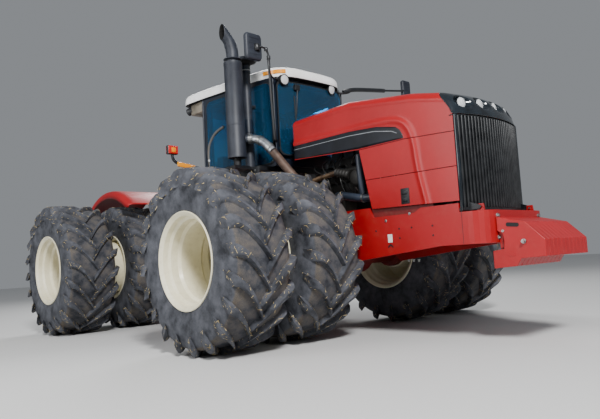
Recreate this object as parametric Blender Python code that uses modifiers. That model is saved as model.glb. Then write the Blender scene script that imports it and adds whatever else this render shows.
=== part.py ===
"""Articulated four-wheel-drive farm tractor on dual wheels.

Metres, +Z up. The front of the tractor faces -Y and its left side +X. The origin is on the
ground, under the middle of the bounding box.
"""
import math

import bmesh
import bpy
from mathutils import Matrix, Vector

# ---- Driving dimensions -------------------------------------------------------------------
wheelbase = 3.91
nose_reach = 2.86          # front axle to the ballast box's front face
tail_reach = 1.15          # rear axle to the drawbar's end
gap = 0.0003               # between pieces that touch
bearing_gap = 0.0008       # between a turning face and its seat

tyre_radius = 0.98
tyre_half_width = 0.358
tyre_steps = 24            # flat facets round a wheel, one of them on the ground
bead_radius = 0.4826
bead_half_width = 0.322
flange_radius = 0.514
barrel_half_width = 0.35
barrel_wall = 0.0206
inner_track = 1.08         # centre line of the tractor to an inner tyre's middle
outer_track = 2.08
hub_radius = 0.25
hub_face = 0.96            # inboard face of the turning hub
inner_disc = 1.29          # middle of the inner wheel's disc
disc_wall = 0.02
spacer_radius = 0.40

axle_tube_radius = 0.16
frame_half_width = 0.62
frame_plate = 0.03
frame_top = 1.45
frame_front = 2.112        # ahead of the front axle
frame_rear = 1.55          # behind the front axle
cross_top = 1.295          # front cross member's top
cross_bottom = 0.98
cross_reach = 2.40

hood_half_width = 0.62
hood_wall = 0.012
hood_front = 2.12
hood_rear = 0.215          # behind the front axle
hood_corner = 0.09
grille_bottom = 1.304
grille_top = 2.27
grille_bulge = 0.10
hood_pin_reach = 2.28
hood_pin_z = 1.335

cab_floor_z = 2.17
cab_top_z = 3.36
cab_front = 0.55           # behind the front axle, at the front posts
cab_rear = 1.95
cab_front_half = 0.64
cab_rear_half = 0.82
cab_bow = 0.07             # how far the windscreen bows ahead of its posts
cab_wall = 0.06
glass_wall = 0.008
roof_thickness = 0.17
deck_thickness = 0.06

pin_radius = 0.06
yoke_radius = 0.12
tube_radius = 0.15
bearing_steps = 44         # facets round the tube and its bearing, fine enough to turn inside
clevis_plate = 0.05
clevis_low = 0.70          # underside of the lower clevis plate
clevis_high = 1.26         # upper face of the upper clevis plate
thrust_gap = 0.003

rear_half_width = 0.40
rear_plate = 0.025
rear_top = 1.40
rear_bottom = 0.80

cylinder_x = 0.42
cylinder_z = 0.98
cylinder_base = 0.85       # ahead of the pivot
cylinder_eye = 0.30        # behind the pivot
barrel_radius = 0.055
rod_radius = 0.028
pin_eye = 0.045 - 0.0005   # half the height of an eye between its two ears

# ---- Places worked out from them ----------------------------------------------------------
front_axle_y = (nose_reach - wheelbase - tail_reach) / 2
rear_axle_y = front_axle_y + wheelbase
pivot_y = (front_axle_y + rear_axle_y) / 2
axle_z = tyre_radius
tail_y = rear_axle_y + tail_reach
round_up = 1 / math.cos(math.pi / tyre_steps)

# ---- Colours (linear) ---------------------------------------------------------------------
RED = (0.55, 0.017, 0.018)
BLACK = (0.012, 0.013, 0.016)
IVORY = (0.72, 0.66, 0.46)
RUBBER = (0.045, 0.045, 0.048)
WHITE = (0.85, 0.85, 0.82)
STEEL = (0.35, 0.35, 0.36)
GLASS = (0.03, 0.12, 0.17)
CLOTH = (0.03, 0.03, 0.035)

for old in list(bpy.data.objects):
    bpy.data.objects.remove(old, do_unlink=True)

tractor = bpy.data.collections.new("farm_tractor")
tools = bpy.data.collections.new("cutters")
bpy.context.scene.collection.children.link(tractor)
bpy.context.scene.collection.children.link(tools)


# ---- Helpers ------------------------------------------------------------------------------
def paint(obj, colour, roughness=0.5, metallic=0.0):
    material = bpy.data.materials.new(obj.name)
    material.use_nodes = True
    shader = material.node_tree.nodes["Principled BSDF"]
    shader.inputs["Base Color"].default_value = (*colour, 1)
    shader.inputs["Roughness"].default_value = roughness
    shader.inputs["Metallic"].default_value = metallic
    obj.data.materials.clear()
    obj.data.materials.append(material)


def node(obj, name, colour, roughness=0.5, metallic=0.0):
    """Make obj one of the tractor's pieces."""
    obj.name = name
    for home in list(obj.users_collection):
        home.objects.unlink(obj)
    tractor.objects.link(obj)
    obj.hide_render = False
    obj.display_type = "TEXTURED"
    paint(obj, colour, roughness, metallic)
    return obj


def guide(obj):
    """Keep obj as a helper shape that is not a piece of its own."""
    for home in list(obj.users_collection):
        home.objects.unlink(obj)
    tools.objects.link(obj)
    obj.hide_render = True
    obj.display_type = "WIRE"
    return obj


def mesh_object(mesh, at=(0, 0, 0)):
    obj = bpy.data.objects.new(mesh.name, mesh)
    obj.location = at
    return guide(bind(obj))


def bind(obj):
    tools.objects.link(obj)
    return obj


def box(low, high):
    """A box between two corners, its origin at its middle."""
    mesh = bpy.data.meshes.new("box")
    shape = bmesh.new()
    bmesh.ops.create_cube(shape, size=1)
    size = [high[i] - low[i] for i in range(3)]
    bmesh.ops.scale(shape, vec=size, verts=shape.verts)
    shape.to_mesh(mesh)
    shape.free()
    return mesh_object(mesh, [(high[i] + low[i]) / 2 for i in range(3)])


def rod(start, end, radius, steps=16, end_radius=None):
    """A cylinder or cone from start to end."""
    start, end = Vector(start), Vector(end)
    mesh = bpy.data.meshes.new("rod")
    shape = bmesh.new()
    bmesh.ops.create_cone(shape, cap_ends=True, segments=steps, radius1=radius,
                          radius2=radius if end_radius is None else end_radius,
                          depth=(end - start).length)
    turn = Vector((0, 0, 1)).rotation_difference(end - start).to_matrix().to_4x4()
    bmesh.ops.transform(shape, matrix=turn, verts=shape.verts)
    shape.to_mesh(mesh)
    shape.free()
    mesh.shade_smooth()
    mesh.set_sharp_from_angle(angle=math.radians(35))
    return mesh_object(mesh, (start + end) / 2)


def outline(points, low, high, axis="X"):
    """A flat outline extruded along an axis, from low to high.

    The points are (y, z) for axis X, (x, z) for axis Y and (x, y) for axis Z.
    """
    curve = bpy.data.curves.new("outline", "CURVE")
    curve.dimensions = "2D"
    curve.fill_mode = "BOTH"
    curve.extrude = (high - low) / 2
    spline = curve.splines.new("POLY")
    spline.points.add(len(points) - 1)
    for point, (a, b) in zip(spline.points, points):
        point.co = (a, b, 0, 1)
    spline.use_cyclic_u = True
    obj = bind(bpy.data.objects.new("outline", curve))
    middle = (low + high) / 2
    obj.matrix_world = {
        "X": Matrix(((0, 0, 1, middle), (1, 0, 0, 0), (0, 1, 0, 0), (0, 0, 0, 1))),
        "Y": Matrix(((1, 0, 0, 0), (0, 0, -1, middle), (0, 1, 0, 0), (0, 0, 0, 1))),
        "Z": Matrix(((1, 0, 0, 0), (0, 1, 0, 0), (0, 0, 1, middle), (0, 0, 0, 1))),
    }[axis]
    return guide(as_mesh(obj))


def as_mesh(obj):
    """Turn a curve object into a closed mesh object in the same place."""
    bpy.context.view_layer.update()
    evaluated = obj.evaluated_get(bpy.context.evaluated_depsgraph_get())
    mesh = bpy.data.meshes.new_from_object(evaluated)
    place = obj.matrix_world.copy()
    name = obj.name
    bpy.data.objects.remove(obj, do_unlink=True)
    shape = bmesh.new()
    shape.from_mesh(mesh)
    bmesh.ops.remove_doubles(shape, verts=shape.verts, dist=1e-5)
    bmesh.ops.recalc_face_normals(shape, faces=shape.faces)
    shape.to_mesh(mesh)
    shape.free()
    new = bind(bpy.data.objects.new(name, mesh))
    new.matrix_world = place
    return new


def tube(points, radius, bevel=3):
    """A round tube through points, with filled ends."""
    curve = bpy.data.curves.new("tube", "CURVE")
    curve.dimensions = "3D"
    curve.bevel_depth = radius
    curve.bevel_resolution = bevel
    curve.use_fill_caps = True
    spline = curve.splines.new("POLY")
    spline.points.add(len(points) - 1)
    for point, place in zip(spline.points, points):
        point.co = (*place, 1)
    obj = bind(bpy.data.objects.new("tube", curve))
    made = as_mesh(obj)
    made.data.shade_smooth()
    made.data.set_sharp_from_angle(angle=math.radians(45))
    return guide(made)


def arc(centre, radius, start, stop, steps):
    """Points on an arc in a plane, with angles in degrees."""
    angles = [math.radians(start + (stop - start) * i / steps) for i in range(steps + 1)]
    return [(centre[0] + radius * math.cos(t), centre[1] + radius * math.sin(t)) for t in angles]


def lathe(profile, at, side, closed=True):
    """A turned piece about the X axis; the profile holds (radius, distance outboard)."""
    mesh = bpy.data.meshes.new("lathe")
    half = math.pi / tyre_steps
    points = [(r * round_up * math.cos(half), r * round_up * math.sin(half), a) for r, a in profile]
    edges = [(i, i + 1) for i in range(len(points) - 1)]
    if closed:
        edges.append((len(points) - 1, 0))
    mesh.from_pydata(points, edges, [])
    obj = mesh_object(mesh, at)
    obj.rotation_euler = (0, side * math.pi / 2, 0)
    screw = obj.modifiers.new("turn", "SCREW")
    screw.axis = "Z"
    screw.angle = 2 * math.pi
    screw.steps = tyre_steps
    screw.render_steps = tyre_steps
    screw.use_merge_vertices = True
    screw.merge_threshold = 0.00001
    screw.use_smooth_shade = True
    return obj


def combine(obj, other, operation):
    step = obj.modifiers.new(operation.lower(), "BOOLEAN")
    step.operation = operation
    step.solver = "EXACT"
    step.object = guide(other)
    return obj


def join(obj, *others):
    for other in others:
        combine(obj, other, "UNION")
    return obj


def cut(obj, *others):
    for other in others:
        combine(obj, other, "DIFFERENCE")
    return obj


def soften(obj, width, angle=30, segments=2):
    bevel = obj.modifiers.new("soften", "BEVEL")
    bevel.width = width
    bevel.segments = segments
    bevel.limit_method = "ANGLE"
    bevel.angle_limit = math.radians(angle)
    return obj


def shifted(points, offset):
    return [(y + offset, z) for y, z in points]


# ---- Wheels: two tyres and a pair of deep rims bolted to one hub ---------------------------
def tyre_profile():
    half = [
        (tyre_radius, 0.12),
        (tyre_radius - 0.042, 0.93 * tyre_half_width),
        (tyre_radius - 0.09, tyre_half_width),
        (flange_radius + 0.055, 0.96 * tyre_half_width),
        (bead_radius + gap, bead_half_width),
    ]
    outboard = [(r, a) for r, a in reversed(half)]
    return outboard + [(r, -a) for r, a in half]


def rim_profile():
    """Half section through the hub, both discs, the spacer drum and both barrels."""
    bore = bead_radius - barrel_wall
    points = [(0, inner_disc + 0.11), (0.2, inner_disc + 0.11), (0.2, inner_disc + disc_wall / 2)]
    outer_disc = outer_track - barrel_half_width + 0.06
    points += [
        (spacer_radius - disc_wall, inner_disc + disc_wall / 2),
        (spacer_radius - disc_wall, outer_disc + disc_wall / 2),
        (bore, outer_disc + disc_wall / 2),
    ]
    points += barrel_points(outer_track, bore)
    points += [
        (bore, outer_disc - disc_wall / 2),
        (spacer_radius, outer_disc - disc_wall / 2),
        (spacer_radius, inner_disc + disc_wall / 2),
        (bore, inner_disc + disc_wall / 2),
    ]
    points += barrel_points(inner_track, bore)
    points += [
        (bore, inner_disc - disc_wall / 2),
        (hub_radius, inner_disc - disc_wall / 2),
        (hub_radius, hub_face),
        (0, hub_face),
    ]
    return points


def barrel_points(track, bore):
    edge = barrel_half_width
    return [
        (bore, track + edge),
        (flange_radius, track + edge),
        (bead_radius, track + edge - 0.015),
        (bead_radius, track - edge + 0.015),
        (flange_radius, track - edge),
        (bore, track - edge),
    ]


for end, wheel_y in (("front", front_axle_y), ("rear", rear_axle_y)):
    for side_name, side in (("right", -1), ("left", 1)):
        hub = (0, wheel_y, axle_z)
        rims = lathe(rim_profile(), hub, side, closed=False)
        node(rims, f"{end}_{side_name}_rims", IVORY, 0.35)
        for place, track in (("inner", inner_track), ("outer", outer_track)):
            tyre = lathe(tyre_profile(), (side * track, wheel_y, axle_z), side)
            node(tyre, f"{end}_{side_name}_{place}_tyre", RUBBER, 0.85)


# ---- Axles: a round differential case, two tubes and a saddle under each frame plate -------
def axle(name, y, saddle_x, saddle_top):
    reach = hub_face - bearing_gap
    body = rod((-reach, y, axle_z), (reach, y, axle_z), axle_tube_radius)
    case = rod((-0.24, y, axle_z), (0.24, y, axle_z), 0.27, 20)
    saddles = [box((side * saddle_x - 0.06, y - 0.13, axle_z),
                   (side * saddle_x + 0.06, y + 0.13, saddle_top - gap)) for side in (-1, 1)]
    flanges = [rod((side * (reach - 0.1), y, axle_z), (side * reach, y, axle_z), 0.22)
               for side in (-1, 1)]
    join(body, case, *saddles, *flanges)
    return node(body, name, RED, 0.5)


arch_top = axle_z + axle_tube_radius + 0.02
axle("front_axle", front_axle_y, frame_half_width - frame_plate / 2, arch_top)
axle("rear_axle", rear_axle_y, rear_half_width - rear_plate / 2, arch_top)


# ---- Front frame: two deep side plates, cross members and the pivot clevis -----------------
def axle_arch(y, bottom):
    """The lower edge of a frame plate where it steps over an axle."""
    return [(y - 0.42, bottom), (y - 0.25, axle_z + 0.02), (y - 0.15, arch_top),
            (y + 0.15, arch_top), (y + 0.25, axle_z + 0.02), (y + 0.42, bottom)]


def front_frame():
    f = front_axle_y
    front, rear = f - frame_front, f + frame_rear
    side = [(front, 0.98), (f - 1.875, 0.98), (f - 0.79, 0.872)]
    side += axle_arch(f, 0.83)
    side += [(rear, 0.83), (rear, frame_top), (f - 0.97, frame_top), (f - 1.02, 1.34),
             (f - 1.577, 1.34), (f - 1.66, 1.385), (front, 1.385)]
    inner = frame_half_width - frame_plate
    body = outline(side, -frame_half_width, -inner)
    join(body, outline(side, inner, frame_half_width))
    lap = inner + frame_plate / 2
    join(body, box((-lap, front + 0.01, 1.0), (lap, front + 0.05, 1.37)))
    join(body, box((-lap, f - 1.35, 1.0), (lap, f - 1.05, 1.1)))
    join(body, box((-lap, f - 0.25, 1.25), (lap, f + 0.05, 1.36)))
    join(body, box((-lap, f + 0.65, 1.25), (lap, f + 0.95, 1.43)))
    join(body, box((-0.26, rear - 0.06, clevis_low + 0.01), (0.26, rear - 0.01, clevis_high - 0.01)))
    for low in (clevis_low, clevis_high - clevis_plate):
        plate = arc((0, pivot_y), 0.17, 0, 180, 10)
        plate += [(-0.34, rear - 0.02), (-lap, rear - 0.05), (-lap, f + 1.03), (lap, f + 1.03),
                  (lap, rear - 0.05), (0.34, rear - 0.02)]
        join(body, outline(plate, low, low + clevis_plate, "Z"))
    bore = rod((0, pivot_y, clevis_low - 0.1), (0, pivot_y, clevis_high + 0.1),
               pin_radius + 0.001, 20)
    cut(body, bore)
    for side_x in (-1, 1):
        for low in (cylinder_z - 0.075, cylinder_z + 0.045):
            near, far = sorted((side_x * (cylinder_x - 0.05), side_x * (inner + 0.01)))
            ear = box((near, pivot_y - cylinder_base - 0.06, low),
                      (far, pivot_y - cylinder_base + 0.06, low + 0.03))
            join(body, ear)
    return node(body, "front_frame", RED, 0.4)


front_frame()


# ---- Pivot yoke: a pin barrel between the clevis plates, a tube the rear frame rolls on ----
def pivot_yoke():
    low = clevis_low + clevis_plate + thrust_gap
    high = clevis_high - clevis_plate - thrust_gap
    body = rod((0, pivot_y, low), (0, pivot_y, high), yoke_radius, 20)
    pin = rod((0, pivot_y, clevis_low - 0.02), (0, pivot_y, clevis_high + 0.02), pin_radius, 20)
    roll = rod((0, pivot_y, cylinder_z), (0, pivot_y + 0.97, cylinder_z), tube_radius,
               bearing_steps)
    collar = rod((0, pivot_y + 0.93, cylinder_z), (0, pivot_y + 1.0, cylinder_z), 0.2, 20)
    join(body, pin, roll, collar)
    for side in (-1, 1):
        for bottom in (cylinder_z - 0.075, cylinder_z + 0.045):
            y = pivot_y + cylinder_eye
            near, far = sorted((-side * 0.02, side * (cylinder_x + 0.07)))
            join(body, box((near, y - 0.07, bottom), (far, y + 0.07, bottom + 0.03)))
    return node(body, "pivot_yoke", RED, 0.4)


# ---- Rear frame: two side plates, a bearing block round the yoke's tube, a top deck --------
def rear_frame():
    front, rear = pivot_y + 0.47, tail_y - 0.25
    side = [(front, rear_bottom)] + axle_arch(rear_axle_y, rear_bottom)
    side += [(rear, rear_bottom), (rear, rear_top), (front, rear_top)]
    inner = rear_half_width - rear_plate
    lap = inner + rear_plate / 2
    body = outline(side, -rear_half_width, -inner)
    join(body, outline(side, inner, rear_half_width))
    join(body, box((-lap, front + 0.01, rear_bottom + 0.01), (lap, front + 0.36, rear_top - 0.03)))
    join(body, box((-lap, rear - 0.05, rear_bottom + 0.01), (lap, rear - 0.01, rear_top - 0.02)))
    join(body, box((-lap, front + 0.02, rear_top - 0.04), (lap, rear - 0.02, rear_top - 0.01)))
    bore = (tube_radius + gap) / math.cos(math.pi / bearing_steps)
    cut(body, rod((0, front - 0.1, cylinder_z), (0, front + 0.46, cylinder_z), bore,
                  bearing_steps))
    for side_x in (-1, 1):
        join(body, box((side_x * rear_half_width - 0.02, rear_axle_y - 0.5, rear_top - 0.09),
                       (side_x * rear_half_width + 0.02, rear_axle_y + 0.5, rear_top - 0.02)))
    return node(body, "rear_frame", RED, 0.4)


# ---- Steering cylinders: barrel pinned to the front frame, rod's eye in the yoke's ears ----
def steering_cylinder(side_name, side):
    x = side * cylinder_x
    base = (x, pivot_y - cylinder_base, cylinder_z)
    eye_y = pivot_y + cylinder_eye
    mouth = pivot_y - 0.20
    barrel = rod((x, base[1] + 0.08, cylinder_z), (x, mouth, cylinder_z), barrel_radius)
    neck = rod((x, base[1], cylinder_z), (x, base[1] + 0.10, cylinder_z), 0.035)
    foot = rod((x, base[1], cylinder_z - pin_eye), (x, base[1], cylinder_z + pin_eye), 0.055)
    join(barrel, neck, foot)
    bore = rod((x, mouth - 0.575, cylinder_z), (x, mouth + 0.1, cylinder_z), rod_radius + gap)
    cut(barrel, bore)
    node(barrel, f"{side_name}_steering_barrel", BLACK, 0.4)
    ram = rod((x, mouth - 0.28, cylinder_z), (x, eye_y, cylinder_z), rod_radius)
    eye = rod((x, eye_y, cylinder_z - pin_eye), (x, eye_y, cylinder_z + pin_eye), 0.05)
    join(ram, eye)
    node(ram, f"{side_name}_steering_rod", STEEL, 0.25, 1.0)


# ---- Rear fenders: an arched sheet over each inner tyre, with a deep lip down its outer edge
fender_inner = 0.50
fender_outer = 1.46
fender_wall = 0.014
fender_lip = 0.13
fender_radius = 1.24


def fender(side_name, side):
    low, high = sorted((side * fender_inner, side * fender_outer))
    body = outline(fender_band(fender_radius, fender_radius - fender_lip, 35, 135), low, high)
    hollow = fender_band(fender_radius - fender_wall, fender_radius - 0.4, 25, 145)
    cut(body, outline(hollow, low + fender_wall, high - fender_wall))
    return node(body, f"rear_{side_name}_fender", RED, 0.4)


def fender_band(outer, inner, start, stop):
    """A band over the tyre in side view, between two angles."""
    centre = (rear_axle_y, axle_z)
    return arc(centre, outer, start, stop, 12) + arc(centre, inner, stop, start, 12)


pivot_yoke()
rear_frame()
for side_name, side in (("right", -1), ("left", 1)):
    steering_cylinder(side_name, side)
    fender(side_name, side)


# ---- Fuel tank between the fenders --------------------------------------------------------
def fuel_tank():
    half = fender_inner - gap
    low = (-half, pivot_y + 0.85, rear_top + gap)
    high = (half, tail_y - 0.35, 2.02)
    return node(soften(box(low, high), 0.06, segments=2), "fuel_tank", BLACK, 0.6)


# ---- Drawbar: a bar under the rear frame, hung from its end plate -------------------------
def drawbar():
    y0, y1 = rear_axle_y + 0.25, tail_y
    body = box((-0.06, y0, 0.48), (0.06, y1, 0.54))
    rear = tail_y - 0.25
    hanger = outline([(rear - 0.35, 0.535), (rear + 0.02, 0.535), (rear + 0.02, 0.62),
                      (rear - 0.06, rear_bottom - gap), (rear - 0.35, rear_bottom - gap)],
                     -rear_half_width, rear_half_width)
    window = box((-0.2, rear - 0.5, 0.62), (0.2, rear + 0.1, 0.72))
    cut(hanger, window)
    join(body, hanger)
    cut(body, rod((0, y1 - 0.08, 0.4), (0, y1 - 0.08, 0.6), 0.026, 16))
    return node(body, "drawbar", BLACK, 0.5)


# ---- Driveline ----------------------------------------------------------------------------
def driveline():
    f = front_axle_y
    body = soften(box((-0.33, f + 0.40, 0.70), (0.33, f + 1.02, 1.25 - gap)), 0.05)
    node(body, "transmission", BLACK, 0.6)
    shaft = rod((0, f + 0.27 + gap, axle_z), (0, f + 0.40 - gap, axle_z), 0.06)
    node(shaft, "front_driveshaft", BLACK, 0.5)
    shaft = rod((0, pivot_y + 1.0 + gap, axle_z), (0, rear_axle_y - 0.27 - gap, axle_z), 0.06)
    return node(shaft, "rear_driveshaft", BLACK, 0.5)


def engine():
    f = front_axle_y
    body = box((-0.38, f - 1.35, 1.36 + gap), (0.38, f + 0.05, 2.15))
    sump = box((-0.25, f - 1.02, 1.12), (0.25, f - 0.28, 1.40))
    head = box((-0.26, f - 1.25, 2.10), (0.26, f - 0.05, 2.40))
    mount = box((-0.45, f - 1.32, 1.10 + gap), (0.45, f - 1.08, 1.40))
    join(body, sump, head, mount)
    node(body, "engine", BLACK, 0.6)
    core_half = frame_half_width - 0.10
    core = box((-core_half, f - 2.05, 1.42), (core_half, f - 1.60, 2.24))
    feet = box((-core_half, f - 2.0, 1.3701), (core_half, f - 1.9, 1.45))
    shelf = box((-frame_half_width + frame_plate + gap, f - 2.06, 1.3703),
                (frame_half_width - frame_plate - gap, f - 1.68, 1.384))
    join(core, feet, shelf)
    return node(core, "radiator", BLACK, 0.6)


fuel_tank()
drawbar()
driveline()
engine()


# ---- Front cross member and ballast box ---------------------------------------------------
def front_end():
    f = front_axle_y
    front, rear = f - cross_reach, f - frame_front - gap
    half = frame_half_width
    plan = [(-half, rear), (half, rear)]
    plan += arc((half - 0.2, front + 0.2), 0.2, 0, -90, 6)
    plan += arc((-half + 0.2, front + 0.2), 0.2, -90, -180, 6)
    body = outline(plan, cross_bottom, cross_top, "Z")
    for side in (-1, 1):
        ear = outline([(f - hood_pin_reach - 0.04, cross_top - 0.01),
                       (f - hood_pin_reach + 0.04, cross_top - 0.01),
                       (f - hood_pin_reach + 0.03, hood_pin_z + 0.03),
                       (f - hood_pin_reach - 0.03, hood_pin_z + 0.03)],
                      side * 0.50 - 0.01, side * 0.50 + 0.01)
        join(body, ear)
        cut(body, rod((side * 0.50 - 0.03, f - hood_pin_reach, hood_pin_z),
                      (side * 0.50 + 0.03, f - hood_pin_reach, hood_pin_z), 0.0105, 12))
    node(body, "front_cross_member", RED, 0.4)
    side_view = [(-2.4003, 1.228), (-2.68, 1.159), (-nose_reach, 0.987), (-nose_reach, 0.829),
                 (-2.621, 0.819), (-2.573, 0.749), (-2.34, 0.731), (-2.34, 0.90),
                 (-2.46, 0.92), (-2.46, 1.06), (-2.4003, 1.09)]
    ballast = outline(shifted(side_view, f), -0.455, 0.455)
    return node(ballast, "front_ballast_box", RED, 0.4)


# ---- Hood: a one-piece shell that tips forward with its grille and nose cap ----------------
hood_crown = 0.03
hood_skin_side = -1        # the wall grows inward from the modelled skin
hood_ridge = [(0.40, 2.70), (hood_rear, 2.707), (-0.716, 2.733), (-1.617, 2.612),
              (-1.948, 2.538), (-2.20, 2.46)]
hood_edge = [(hood_rear, 2.19), (-0.86, 2.127), (-1.013, 1.441), (-hood_front, 1.409),
             (-hood_front, 2.29), (-2.07, 2.37), (-1.76, 2.80), (hood_rear, 2.85)]


def hood_section(y, top):
    """One cross-section of the hood: two sides, rounded shoulders and a crowned top."""
    half, corner = hood_half_width, hood_corner
    right = [(-half, y, 1.30), (-half, y, 2.0)]
    right += [(x, y, z) for x, z in arc((-half + corner, top - corner), corner, 180, 90, 4)]
    flat = half - corner
    crown = [(-flat * t, y, top + hood_crown * (1 - t * t)) for t in (0.6, 0.2)]
    right += crown
    return right + [(-x, y, z) for x, y, z in reversed(right)]


def hood():
    """A one-piece skin, trimmed to the hood's outline as seen from the side."""
    mesh = bpy.data.meshes.new("skin")
    rings = [hood_section(front_axle_y + y, top) for y, top in hood_ridge]
    count = len(rings[0])
    verts = [point for ring in rings for point in ring]
    faces = [(r * count + i, (r + 1) * count + i, (r + 1) * count + i + 1, r * count + i + 1)
             for r in range(len(rings) - 1) for i in range(count - 1)]
    mesh.from_pydata(verts, [], faces)
    shell = mesh_object(mesh)
    wall = shell.modifiers.new("wall", "SOLIDIFY")
    wall.thickness = hood_wall
    wall.offset = hood_skin_side
    wall.use_even_offset = True
    trim = outline(shifted(hood_edge, front_axle_y), -hood_half_width - 0.1, hood_half_width + 0.1)
    combine(shell, trim, "INTERSECT")
    return node(shell, "hood_shell", RED, 0.25)


def grille_plan(half, bulge, back):
    """Plan of the grille: a shallow bow forward, closed by a straight back."""
    f = front_axle_y
    steps = 8
    front = []
    for i in range(steps + 1):
        t = -1 + 2 * i / steps
        front.append((half * t, f - hood_front - 0.02 - bulge * (1 - t * t)))
    return front + [(half, back), (-half, back)]


def nose():
    f = front_axle_y
    back = f - hood_front - gap
    body = outline(grille_plan(hood_half_width - 0.003, grille_bulge, back),
                   grille_bottom, grille_top, "Z")
    for side in (-1, 1):
        arm = outline([(f - hood_front - 0.03, grille_bottom + 0.002),
                       (f - hood_pin_reach, hood_pin_z - 0.02),
                       (f - hood_pin_reach - 0.02, hood_pin_z),
                       (f - hood_pin_reach, hood_pin_z + 0.02),
                       (f - hood_front - 0.03, hood_pin_z + 0.06)],
                      side * 0.50 + 0.013, side * 0.50 + 0.028)
        join(body, arm)
        pin = rod((side * 0.50 - 0.02, f - hood_pin_reach, hood_pin_z),
                  (side * 0.50 + 0.02, f - hood_pin_reach, hood_pin_z), 0.010, 12)
        join(body, pin)
    node(body, "grille", BLACK, 0.5)
    edge = -hood_front - gap
    profile = [(edge, grille_top + gap), (-2.30, grille_top + gap), (-2.27, 2.36), (-2.17, 2.47),
               (-2.03, 2.535), (-1.9489, 2.5385), (-2.0705, 2.37), (edge, 2.29)]
    cap = outline(shifted(profile, f), -hood_half_width + 0.004, hood_half_width - 0.004)
    plan = grille_plan(hood_half_width - 0.003, grille_bulge + 0.01, f - 1.8)
    limit = outline(plan, 2.0, 2.7, "Z")
    combine(cap, limit, "INTERSECT")
    return node(cap, "nose_cap", BLACK, 0.3)


front_end()
hood()
nose()


# ---- Cab: posts, sills, floor and lower walls in one hollow body, roof, glass and door -----
def cab_plan(inset):
    """Plan of the cab: it narrows to the front, where the windscreen bows."""
    f = front_axle_y
    back = f + cab_rear - inset
    steps = 6
    front = []
    half = cab_front_half - inset
    for i in range(steps + 1):
        t = -1 + 2 * i / steps
        front.append((half * t, f + cab_front + inset - cab_bow * (1 - t * t)))
    return front + [(cab_rear_half - inset, back), (-cab_rear_half + inset, back)]


def cab_side_x(distance, inset=0):
    """Half-width of the cab at a distance behind the front axle."""
    share = (distance - cab_front) / (cab_rear - cab_front)
    return cab_front_half + share * (cab_rear_half - cab_front_half) - inset


glass_low = 2.42
glass_high = 3.26
door_low = 2.22
door_front = 0.68          # behind the front axle
door_rear = 1.80
door_frame = 0.055
door_gap = 0.006
door_pin_out = 0.02
door_hinge_heights = (door_low + 0.15, glass_high - 0.15)


def side_panel(side, near, far, low, high, outer, inner):
    """A flat panel that follows the cab's side, between two depths from its outer face."""
    f = front_axle_y
    plan = [(side * cab_side_x(near, outer), f + near), (side * cab_side_x(far, outer), f + far),
            (side * cab_side_x(far, inner), f + far), (side * cab_side_x(near, inner), f + near)]
    return outline(plan, low, high, "Z")


def cab_frame():
    f = front_axle_y
    body = outline(cab_plan(0), cab_floor_z, cab_top_z, "Z")
    cut(body, outline(cab_plan(cab_wall), cab_floor_z + cab_wall, cab_top_z + 0.1, "Z"))
    post = 0.07
    front_low = 2.36
    cut(body, outline([(-cab_front_half + post, front_low), (cab_front_half - post, front_low),
                       (cab_front_half - post, glass_high), (-cab_front_half + post, glass_high)],
                      f + cab_front - 0.2, f + cab_front + cab_wall + 0.02, "Y"))
    rear = f + cab_rear
    cut(body, box((-cab_rear_half + 0.1, rear - 0.1, glass_low),
                  (cab_rear_half - 0.1, rear + 0.1, glass_high)))
    cut(body, side_panel(-1, door_front, door_rear, 2.30, glass_high, -0.1, cab_wall + 0.02))
    cut(body, side_panel(1, door_front, door_rear, door_low, glass_high, -0.1, cab_wall + 0.02))
    x, y = cab_side_x(door_rear) + door_pin_out, f + door_rear
    for z in door_hinge_heights:
        for low in (z - 0.08, z + 0.04 + bearing_gap):
            lug = rod((x, y, low), (x, y, low + 0.04 - bearing_gap), 0.012, 12)
            base = box((x - door_pin_out - 0.012, y, low), (x, y + 0.04, low + 0.04 - bearing_gap))
            join(body, base, lug)
    return node(body, "cab_frame", BLACK, 0.4)


def cab_glass():
    f = front_axle_y
    post = 0.07 + gap
    pane = outline(cab_plan(0.02), 2.36 + gap, glass_high - gap, "Z")
    cut(pane, outline(cab_plan(0.02 + glass_wall), 2.3, 3.3, "Z"))
    window = box((-cab_front_half + post, f + cab_front - 0.2, 2.3),
                 (cab_front_half - post, f + cab_front + 0.1, 3.3))
    combine(pane, window, "INTERSECT")
    node(pane, "windscreen", GLASS, 0.05)
    rear = f + cab_rear
    pane = box((-cab_rear_half + 0.1 + gap, rear - 0.035, glass_low + gap),
               (cab_rear_half - 0.1 - gap, rear - 0.035 + glass_wall, glass_high - gap))
    node(pane, "rear_glass", GLASS, 0.05)
    pane = side_panel(-1, door_front + gap, door_rear - gap, 2.30 + gap, glass_high - gap,
                      0.02, 0.02 + glass_wall)
    return node(pane, "right_side_glass", GLASS, 0.05)


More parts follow.
